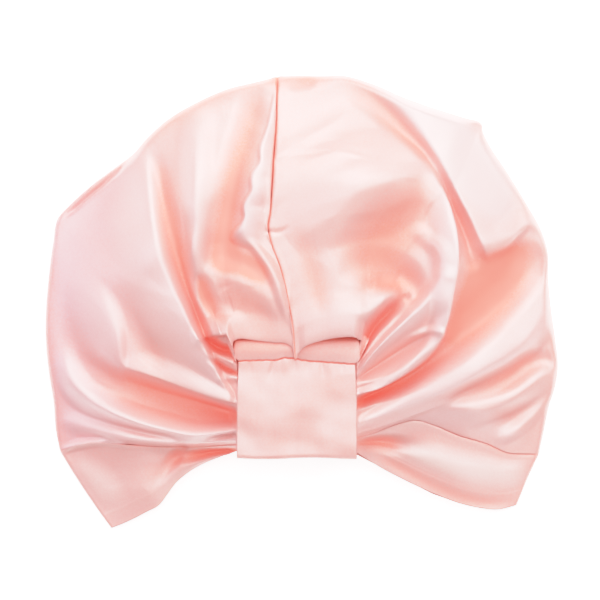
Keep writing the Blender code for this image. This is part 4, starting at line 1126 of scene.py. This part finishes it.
@dataclass
class LoopBand:
    """The folded loop that gathers the front: a flat tube with a seam across and a roll above it."""

    low: Vector
    high: Vector
    name: str = "loop_band"
    node: str = "knot_band"
    slot: str = "band_satin"
    cut: Cut = Cut(0.070, 0.175, 0.01225, "folded")
    corner: float = 0.0024
    corner_steps: int = 6
    columns: int = 80
    cuts: int = 70
    fine_cuts: int = 20
    fine_length: float = 0.05
    wall: float = 0.0011
    seam_v: float = 0.805
    seam_depth: float = 0.0012
    seam_width: float = 0.009
    seam_sway: float = 0.16
    # Painted shade in the seam's groove: how deep and how wide.
    seam_painted_shade: float = 0.24
    seam_painted_shade_width: float = 0.008
    ripple: float = 0.0022
    ripple_turns: Row = (38.0, 3.0, 9.0)
    roll_height: float = 0.0016
    roll_fullness: float = 0.7
    roll_unevenness: float = 0.4
    puff: float = 0.0007
    puff_fullness: float = 0.6
    gather_width: float = 0.045
    gather_spread: float = 0.35
    gather_start: float = 0.03
    unevenness: float = 0.0013
    unevenness_start: float = 0.1
    # Soft and fine dents: turns across, turns along, place in the noise, weight.
    dents: Table = ((1.3, 3.4, 2.0, 1.0), (3.1, 6.0, 5.0, 0.5))
    waist: float = 0.975
    waist_length: float = 0.35
    ears: float = 1.055
    ear_rise: float = 0.04
    ear_top: float = 0.9
    ear_rounding: float = 0.5
    foot_wave: float = 0.006
    foot_turns: float = 4.1
    foot_phase: float = 0.6
    foot_length: float = 0.3
    # Painted shade on the roll under the overhanging pouch, deeper towards the left.
    shade: float = 0.17
    shade_lean: float = 0.5
    shade_start: float = 0.82
    shade_length: float = 0.14
    streaks: float = 0.04
    streak_turns: Row = (90.0, 4.0)

    def build(self) -> bpy.types.Object:
        """Makes the loop band as one tube of cloth."""
        size = self.high - self.low
        cloth = bmesh.new()
        bmesh.ops.create_cube(cloth, size=1.0)
        bmesh.ops.scale(cloth, vec=size, verts=cloth.verts)
        ends = [face for face in cloth.faces if abs(face.normal.x) > 0.5]
        bmesh.ops.delete(cloth, geom=ends, context="FACES_ONLY")
        sides = [edge for edge in cloth.edges if abs(edge.verts[0].co.x - edge.verts[1].co.x) > self.wall]
        bmesh.ops.bevel(
            cloth, geom=sides, offset=self.corner, segments=self.corner_steps, profile=0.5,
            affect="EDGES", material=-1,
        )
        for step in range(1, self.columns):
            self._cut(cloth, ((step / self.columns - 0.5) * size.x, 0, 0), (1, 0, 0))
        even = [step / self.cuts for step in range(1, self.cuts)]
        fine = [step / self.fine_cuts - 0.5 for step in range(self.fine_cuts + 1)]
        beside_seam = [self.seam_v + share * self.fine_length for share in fine]
        for share in even + beside_seam:
            self._cut(cloth, (0, (share - 0.5) * size.y, 0), (0, 1, 0))
        self._map(cloth, size)
        # Each point's painted shade, with faint random streaks.
        shade = cloth.verts.layers.float.new("painted_light")
        for vertex in cloth.verts:
            vertex[shade] = self._painted_light_and_streaks(vertex.co, size)
            vertex.co = self._shaped(vertex.co, size)
        item = finish_piece(self.name, cloth)
        wall = item.modifiers.new("Wall", "SOLIDIFY")
        wall.thickness = self.wall
        wall.offset = -1.0
        return item

    def _cut(self, cloth: bmesh.types.BMesh, point: Row, normal: Row) -> None:
        """Cuts a line of new edges across the cloth."""
        geometry = cloth.verts[:] + cloth.edges[:] + cloth.faces[:]
        bmesh.ops.bisect_plane(cloth, geom=geometry, dist=1e-7, plane_co=point, plane_no=normal)

    def _map(self, cloth: bmesh.types.BMesh, size: Vector) -> None:
        """Gives the band its pattern map, across and round it."""
        layer = cloth.loops.layers.uv.new("pattern")
        for face in cloth.faces:
            for loop in face.loops:
                spot = loop.vert.co
                round_it = spot.y if face.normal.z > 0 else size.y * 2 - spot.y
                loop[layer].uv = (spot.x, round_it + spot.z)

    def _shaped(self, spot: Vector, size: Vector) -> tuple[float, float, float]:
        """Moves one point of the plain tube to its place on the gathered band.

        Args:
            spot: The point on the plain tube, measured from its middle.
            size: The band's size.

        Returns:
            The point on the band.
        """
        u = 2 * spot.x / size.x
        v = spot.y / size.y + 0.5
        above = float(smooth_steps((v - self.seam_v) / self.ear_rise))
        quick, bend, slow = self.ripple_turns
        ripple = self.ripple * math.sin(quick * u + bend * math.sin(slow * u))
        sway = float(np.interp(u, *zip(*BAND_SEAM))) + ripple
        sway *= float(bell(v - self.seam_v, self.seam_sway))
        z = spot.z + size.z / 2 + self.low.z
        if spot.z > 0:
            z += self._front(u, v)
        width = self.waist + (1 - self.waist) * float(smooth_steps((self.seam_v - v) / self.waist_length))
        rounding = self.ear_rounding * (max(v - self.ear_top, 0.0) / (1 - self.ear_top)) ** 2
        width += (self.ears - self.waist) * above * (1 - rounding)
        x = (self.low.x + self.high.x) / 2 + u * width * size.x / 2
        wave = math.sin(self.foot_turns * u + self.foot_phase)
        foot = self.foot_wave * wave * float(bell(v, self.foot_length))
        return x, self.low.y + (v + sway + foot) * size.y, z

    def _front(self, u: float, v: float) -> float:
        """Works out the relief of the band's front.

        Args:
            u: Place across the band, -1 and 1 at its sides.
            v: Place along the band, 0 at its foot and 1 at its top.

        Returns:
            Height of the seam, the roll above it and the gathers below it.
        """
        seam = -self.seam_depth * float(bell(v - self.seam_v, self.seam_width))
        dent = sum(
            weight * noise.noise(Vector((across * u, along * v, place)))
            for across, along, place, weight in self.dents
        )
        if v > self.seam_v:
            share = (v - self.seam_v) / (1 - self.seam_v)
            roll = self.roll_height * math.sin(math.pi * min(share, 1.0)) ** self.roll_fullness
            return seam + roll + self.roll_unevenness * dent * self.unevenness
        below = self.seam_v - v
        width = self.gather_width + self.gather_spread * below
        down = below - self.gather_start
        gathers = sum(
            depth * float(bell(u - at - lean * below, width)) * float(bell(down, length))
            for at, lean, length, depth in BAND_GATHERS
        )
        crown = (1 - u * u) * math.sin(math.pi * min(max(v, 0.0) / self.seam_v, 1.0)) ** self.puff_fullness
        uneven = self.unevenness * dent * min(1.0, below / self.unevenness_start)
        return seam + gathers + self.puff * crown + uneven

    def _painted_light_and_streaks(self, spot: Vector, size: Vector) -> float:
        """Painted shade in the band's seam and under the pouch, with faint random streaks."""
        v = spot.y / size.y + 0.5
        # Painted shade in the seam's groove, on the front only.
        sewn = self.seam_painted_shade * float(bell(v - self.seam_v, self.seam_painted_shade_width)) if spot.z > 0 else 0.0
        # Painted shade under the overhanging pouch.
        under = float(smooth_steps((v - self.shade_start) / self.shade_length))
        shaded = (self.shade - self.shade_lean * spot.x) * under
        across, along = self.streak_turns
        return self.streaks * noise.noise(Vector((spot.x * across, v * along, 1.0))) - sewn - shaded


class Wire:
    """A shader socket that adds Math nodes when it is used in a sum."""

    def __init__(self, bench: "Bench", socket: bpy.types.NodeSocket) -> None:
        """Keeps the socket and the bench it belongs to."""
        self.bench = bench
        self.socket = socket

    def _math(self, operation: str, first: Any, second: Any) -> "Wire":
        """Adds one Math node."""
        return self.bench.add("ShaderNodeMath", {"operation": operation}, {0: first, 1: second})

    def __add__(self, other: Any) -> "Wire":
        """Sum."""
        return self._math("ADD", self, other)

    __radd__ = __add__

    def __sub__(self, other: Any) -> "Wire":
        """Difference."""
        return self._math("SUBTRACT", self, other)

    def __rsub__(self, other: Any) -> "Wire":
        """Difference, the other way round."""
        return self._math("SUBTRACT", other, self)

    def __mul__(self, other: Any) -> "Wire":
        """Product."""
        return self._math("MULTIPLY", self, other)

    __rmul__ = __mul__


class Bench:
    """Adds nodes to one material."""

    def __init__(self, name: str) -> None:
        """Starts a material with its Principled shader."""
        self.material = bpy.data.materials.new(name)
        self.material.use_nodes = True
        self.tree = self.material.node_tree
        self.shader = self.tree.nodes["Principled BSDF"]

    def add(self, kind: str, settings: dict[str, Any], inputs: dict[Any, Any], output: Any = 0) -> Wire:
        """Adds a node.

        Args:
            kind: The node's type.
            settings: Its properties.
            inputs: Values or wires, by the socket's name or number.
            output: The output to read.

        Returns:
            The wire that leaves it.
        """
        node = self.tree.nodes.new(kind)
        for key, value in settings.items():
            setattr(node, key, value)
        for key, value in inputs.items():
            self.feed(node.inputs[key], value)
        return Wire(self, node.outputs[output])

    def feed(self, socket: bpy.types.NodeSocket, value: Any) -> None:
        """Links a wire to a socket, or sets its value."""
        if isinstance(value, Wire):
            self.tree.links.new(value.socket, socket)
        else:
            socket.default_value = value


# Period of a wave texture of scale 1, in units of its coordinates.
WAVE_PERIOD = 0.314
BLACK = (0.0, 0.0, 0.0, 1.0)


@dataclass(frozen=True)
class SatinFinish:
    """Polyester satin: a bright float face over a deeper ground colour.

    deep is the painted-shade colour of the hollows, ground the colour of even cloth, bloom the
    painted-highlight colour of the crests and cool the painted lilac light on the cloth towards the left,
    which starts painted_cool_light_start / painted_cool_light_slope metres left of the middle. At
    painted_light_reach of painted light the deep or bloom colour is reached in full, and glow is how
    brightly the hollows give off painted light in the deep colour.
    """

    name: str
    seed: float
    # Colours of painted shade, even cloth, painted highlight and painted lilac light, then how they are
    # laid on.
    deep: Colour = (0.95, 0.24, 0.178, 1.0)
    ground: Colour = (0.92, 0.43, 0.395, 1.0)
    painted_highlight: Colour = (0.93, 0.56, 0.55, 1.0)
    painted_cool_light: Colour = (0.86, 0.44, 0.49, 1.0)
    painted_cool_light_slope: float = 11.0
    painted_cool_light_start: float = 0.88
    painted_light_reach: float = 0.30
    painted_glow: float = 0.13
    patches: float = 0.65
    patch_scale: float = 16.0
    grain: float = 0.8
    grain_scale: float = 900.0
    roughness: float = 0.42
    hollow_roughness: float = 0.22
    wear: float = 0.10
    wear_scale: float = 60.0
    specular: float = 1.0
    refraction: float = 1.75
    sheen: float = 0.15
    sheen_roughness: float = 0.4
    anisotropy: float = 0.3
    coat: float = 0.4
    coat_roughness: float = 0.34
    thread: float = 0.00042
    thread_depth: float = 0.25
    thread_height: float = 0.0001
    long_share: float = 0.7
    wrinkle_depth: float = 0.55
    wrinkle_height: float = 0.0006
    wrinkle_scale: float = 95.0
    wrinkle_stretch: float = 0.30

    def make(self) -> bpy.types.Material:
        """Builds the material.

        Returns:
            The satin, with its weave and fine wrinkles following the cloth's pattern map.
        """
        bench = Bench(self.name)
        pattern = bench.add("ShaderNodeUVMap", {"uv_map": "pattern"}, {})
        place = bench.add("ShaderNodeTexCoord", {}, {}, "Object")
        painted_shade_share = self._colour(bench, place)
        self._surface(bench, pattern, place, painted_shade_share)
        shader = bench.shader.inputs
        for socket, value in (
            ("Metallic", 0.0), ("Specular IOR Level", self.specular), ("IOR", self.refraction),
            ("Anisotropic", self.anisotropy), ("Sheen Weight", self.sheen),
            ("Sheen Roughness", self.sheen_roughness), ("Coat Roughness", self.coat_roughness),
        ):
            shader[socket].default_value = value
        return bench.material

    def _colour(self, bench: Bench, place: Wire) -> Wire:
        """Paints shade into the colour of the hollows, lets them give off painted light, paints a highlight
        onto the crests and lilac light towards the left.

        Args:
            bench: The material's bench.
            place: Object coordinates.

        Returns:
            How much painted shade the cloth has, random patches and grain included, from 0 to 1.
        """
        painted_light = bench.add("ShaderNodeAttribute", {"attribute_name": "painted_light"}, {}, "Fac")
        patches = bench.add(
            "ShaderNodeTexNoise", {"noise_dimensions": "4D"},
            {"Vector": place, "W": self.seed, "Scale": self.patch_scale, "Detail": 2.0, "Roughness": 0.5},
        )
        grain = bench.add(
            "ShaderNodeTexNoise", {"noise_dimensions": "3D"},
            {"Vector": place, "Scale": self.grain_scale, "Detail": 2.0, "Roughness": 0.6},
        )
        uneven = (patches - 0.5) * self.patches
        level = painted_light * (1 / self.painted_light_reach) + uneven + (grain - 0.5) * self.grain
        # Painted shade mixes in the deep colour where the painted light is below 0, painted highlight the
        # bloom colour where it is above 0.
        painted_shade_share = bench.add("ShaderNodeClamp", {}, {"Value": level * -1.0})
        crest = bench.add("ShaderNodeClamp", {}, {"Value": level})
        # Painted lilac light: the ground colour turns lilac towards the left.
        across = bench.add("ShaderNodeSeparateXYZ", {}, {"Vector": place}, "X")
        leftward = bench.add("ShaderNodeClamp", {}, {"Value": across * -self.painted_cool_light_slope - self.painted_cool_light_start})
        ground = self._mix(bench, leftward, self.ground, self.painted_cool_light)
        shaded = self._mix(bench, painted_shade_share, ground, self.deep)
        bench.feed(bench.shader.inputs["Base Color"], self._mix(bench, crest, shaded, self.painted_highlight))
        # The hollows give off painted light in the deep colour.
        bench.feed(bench.shader.inputs["Emission Color"], self._mix(bench, painted_shade_share, BLACK, self.deep))
        bench.shader.inputs["Emission Strength"].default_value = self.painted_glow
        return painted_shade_share

    def _mix(self, bench: Bench, share: Wire, first: Any, second: Any) -> Wire:
        """Mixes two colours."""
        return bench.add("ShaderNodeMix", {"data_type": "RGBA"}, {"Factor": share, 6: first, 7: second}, 2)

    def _surface(self, bench: Bench, pattern: Wire, place: Wire, painted_shade_share: Wire) -> None:
        """Gives the satin its threads, fine wrinkles and uneven gloss.

        Args:
            bench: The material's bench.
            pattern: The cloth's pattern map.
            place: Object coordinates.
            painted_shade_share: How much painted shade the cloth has.
        """
        stretched = bench.add(
            "ShaderNodeMapping", {}, {"Vector": pattern, "Scale": (1.0, self.wrinkle_stretch, 1.0)},
        )
        wrinkle = bench.add(
            "ShaderNodeTexNoise", {"noise_dimensions": "3D"},
            {"Vector": stretched, "Scale": self.wrinkle_scale, "Detail": 3.0, "Roughness": 0.45,
             "Distortion": 0.3},
        )
        long_threads, cross_threads = (
            bench.add(
                "ShaderNodeTexWave", {"wave_type": "BANDS", "bands_direction": direction},
                {"Vector": pattern, "Scale": WAVE_PERIOD / width, "Distortion": 0.6, "Detail": 1.0},
            )
            for direction, width in (("X", self.thread), ("Y", 2 * self.thread))
        )
        weave = long_threads * self.long_share + cross_threads * (1 - self.long_share)
        threads = bench.add(
            "ShaderNodeBump", {},
            {"Strength": self.thread_depth, "Distance": self.thread_height, "Height": weave},
        )
        creased = bench.add(
            "ShaderNodeBump", {},
            {"Strength": self.wrinkle_depth, "Distance": self.wrinkle_height, "Height": wrinkle,
             "Normal": threads},
        )
        bench.feed(bench.shader.inputs["Normal"], creased)
        worn = bench.add(
            "ShaderNodeTexNoise", {"noise_dimensions": "3D"},
            {"Vector": place, "Scale": self.wear_scale, "Detail": 3.0, "Roughness": 0.55},
        )
        matt = self.roughness - self.wear / 2 + worn * self.wear + painted_shade_share * self.hollow_roughness
        bench.feed(bench.shader.inputs["Roughness"], matt)
        bench.feed(bench.shader.inputs["Coat Weight"], self.coat - painted_shade_share * self.coat)


@dataclass(frozen=True)
class Lamp:
    """One soft light: where it stands, its size, strength and colour."""

    name: str
    place: tuple[float, float, float]
    size: tuple[float, float]
    power: float
    colour: tuple[float, float, float] = (1.0, 1.0, 1.0)


@dataclass(frozen=True)
class Film:
    """How the picture rolls bright light off: pairs of scene light and the value shown."""

    white: float = 1.8
    shoulder: Table = (
        (0.0, 0.0), (0.25, 0.25), (0.5, 0.49), (0.8, 0.75), (1.1, 0.88), (1.5, 0.95), (1.8, 1.0),
    )

    def load(self) -> None:
        """Sets the scene's view curve."""
        view = bpy.context.scene.view_settings
        view.view_transform = "Standard"
        view.use_curve_mapping = True
        mapping = view.curve_mapping
        mapping.white_level = (self.white,) * 3
        points = mapping.curves[3].points
        while len(points) < len(self.shoulder):
            points.new(0.5, 0.5)
        for point, (light, shown) in zip(points, self.shoulder):
            point.location = (light / self.white, shown)
        mapping.update()


@dataclass
class Studio:
    """The white table, the soft lights and the camera straight above."""

    lamps: tuple[Lamp, ...] = (
        Lamp("top_light", (0.05, 0.95, 0.75), (1.1, 0.6), 9.6),
        Lamp("left_light", (-0.95, 0.15, 0.70), (0.5, 0.9), 3.4, (0.84, 0.90, 1.0)),
        Lamp("right_light", (0.80, 0.45, 0.85), (0.5, 0.9), 4.6, (1.0, 0.99, 0.98)),
        Lamp("front_light", (0.45, -0.90, 0.75), (0.9, 0.5), 3.0),
        Lamp("overhead_light", (0.0, 0.25, 1.30), (1.3, 1.0), 8.6),
    )
    lens: float = 100.0
    view_width: float = 0.3476
    aim: tuple[float, float] = (-0.0009, 0.0007)
    world_strength: float = 0.26
    white: Colour = (1.0, 1.0, 1.0, 1.0)
    table_paint: Colour = (0.93, 0.93, 0.93, 1.0)
    table_roughness: float = 0.8
    table_glow: float = 1.0
    table_size: float = 6.0
    table_gap: float = 0.0002

    def build(self) -> None:
        """Sets up the table, the lights, the world and the camera."""
        self._table()
        for lamp in self.lamps:
            self._light(lamp)
        world = bpy.data.worlds.new("studio")
        world.use_nodes = True
        sky = world.node_tree.nodes["Background"].inputs
        sky["Color"].default_value = self.white
        sky["Strength"].default_value = self.world_strength
        bpy.context.scene.world = world
        Film().load()
        self._camera()

    def _table(self) -> None:
        """Makes the white table."""
        top = bmesh.new()
        bmesh.ops.create_grid(top, x_segments=1, y_segments=1, size=self.table_size / 2)
        table = finish_piece("table", top)
        bench = Bench("table_white")
        for socket, value in (
            ("Base Color", self.table_paint), ("Roughness", self.table_roughness),
            ("Emission Color", self.white), ("Emission Strength", self.table_glow),
        ):
            bench.shader.inputs[socket].default_value = value
        table.data.materials.append(bench.material)
        table.location.z = -self.table_gap
        table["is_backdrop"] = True

    def _light(self, lamp: Lamp) -> None:
        """Adds one soft light, aimed at the turban."""
        data = bpy.data.lights.new(lamp.name, "AREA")
        data.shape = "RECTANGLE"
        data.size, data.size_y = lamp.size
        data.energy = lamp.power
        data.color = lamp.colour
        item = bpy.data.objects.new(lamp.name, data)
        item.location = lamp.place
        item.rotation_euler = (-Vector(lamp.place)).to_track_quat("-Z", "Y").to_euler()
        bpy.context.scene.collection.objects.link(item)

    def _camera(self) -> None:
        """Adds the camera, straight above the turban."""
        data = bpy.data.cameras.new("camera")
        data.lens = self.lens
        height = self.view_width * self.lens / data.sensor_width
        item = bpy.data.objects.new("camera", data)
        item.location = (*self.aim, height)
        bpy.context.scene.collection.objects.link(item)
        bpy.context.scene.camera = item


def panels() -> tuple[Panel, ...]:
    """Lists the cloth panels."""
    crown = {"slot": "crown_satin", "high_bend": CENTRE_BEND, "back": (BACK_SEAM, BACK_CROWN),
             "low_edge": Edge.SEWN}
    brim = {"slot": "brim_satin", "back": (BACK_HEM, BACK_SEAM), "low_edge": Edge.HEMMED, "columns": 64,
            "cut": Cut(0.055, 0.27, 0.009), "crowding": 0.2, "high_dip": 0.00012}
    return (
        Panel(
            "satin_crown_left", "crown_left", side=Side.LEFT, low_bend=LEFT_SEAM_BEND, columns=240,
            spokes=LEFT_SEAM_SPOKE + CROWN_LEFT_SPOKES + CENTRE_SPOKE, cut=Cut(0.26, 0.25, 0.050),
            rim_shade=0.12, **crown,
        ),
        Panel(
            "satin_crown_right", "crown_right", side=Side.RIGHT, low_bend=RIGHT_SEAM_BEND, columns=250,
            spokes=RIGHT_SEAM_SPOKE + CROWN_RIGHT_SPOKES + CENTRE_SPOKE, cut=Cut(0.28, 0.26, 0.058),
            **crown,
        ),
        Panel(
            "satin_brim_left", "brim_left", side=Side.LEFT, spokes=BRIM_LEFT_SPOKES + LEFT_SEAM_SPOKE,
            low_bend=LEFT_HEM_BEND, high_bend=LEFT_SEAM_BEND, back_bend=LEFT_BACK_HEM_BEND, **brim,
        ),
        Panel(
            "satin_brim_right", "brim_right", side=Side.RIGHT, spokes=BRIM_RIGHT_SPOKES + RIGHT_SEAM_SPOKE,
            low_bend=RIGHT_HEM_BEND, high_bend=RIGHT_SEAM_BEND, back_bend=RIGHT_BACK_HEM_BEND, **brim,
        ),
    )


def dress(item: bpy.types.Object, piece: Panel | LoopBand, finishes: dict[str, bpy.types.Material]) -> None:
    """Puts a finished piece in its node's place.

    Args:
        item: The finished mesh object.
        piece: The panel or band that it was made from.
        finishes: The satins, by material slot.
    """
    item.data.materials.append(finishes[piece.slot])
    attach(item, BODY)
    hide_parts(piece.node)
    LOG.info("%s stands for %s", item.name, piece.node)


def corners(bounds: Any) -> list[list[float]]:
    """Plain lists of a box's two corners."""
    return [list(map(float, corner)) for corner in bounds]


def main() -> None:
    """Builds the turban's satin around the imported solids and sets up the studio."""
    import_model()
    solid_box = corners(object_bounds())
    cap = Cap(Vector(solid_box[0]), Vector(solid_box[1]), *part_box("knot_band"))
    relief = Relief(cap, FOLDS)
    satins = (
        SatinFinish("crown_satin", 1.0),
        # The brims' painted highlight is lighter and their painted lilac light nearly the ground colour.
        SatinFinish("brim_satin", 2.0, painted_highlight=(0.95, 0.595, 0.56, 1.0), painted_cool_light=(0.91, 0.43, 0.41, 1.0)),
        SatinFinish("band_satin", 3.0),
    )
    finishes = {satin.name: satin.make() for satin in satins}
    for panel in panels():
        dress(panel.build(cap, relief), panel, finishes)
    band = LoopBand(cap.band_low, cap.band_high)
    dress(band.build(), band, finishes)
    Studio().build()


if __name__ == "__main__":
    logging.basicConfig(level=logging.INFO, format="%(message)s")
    main()
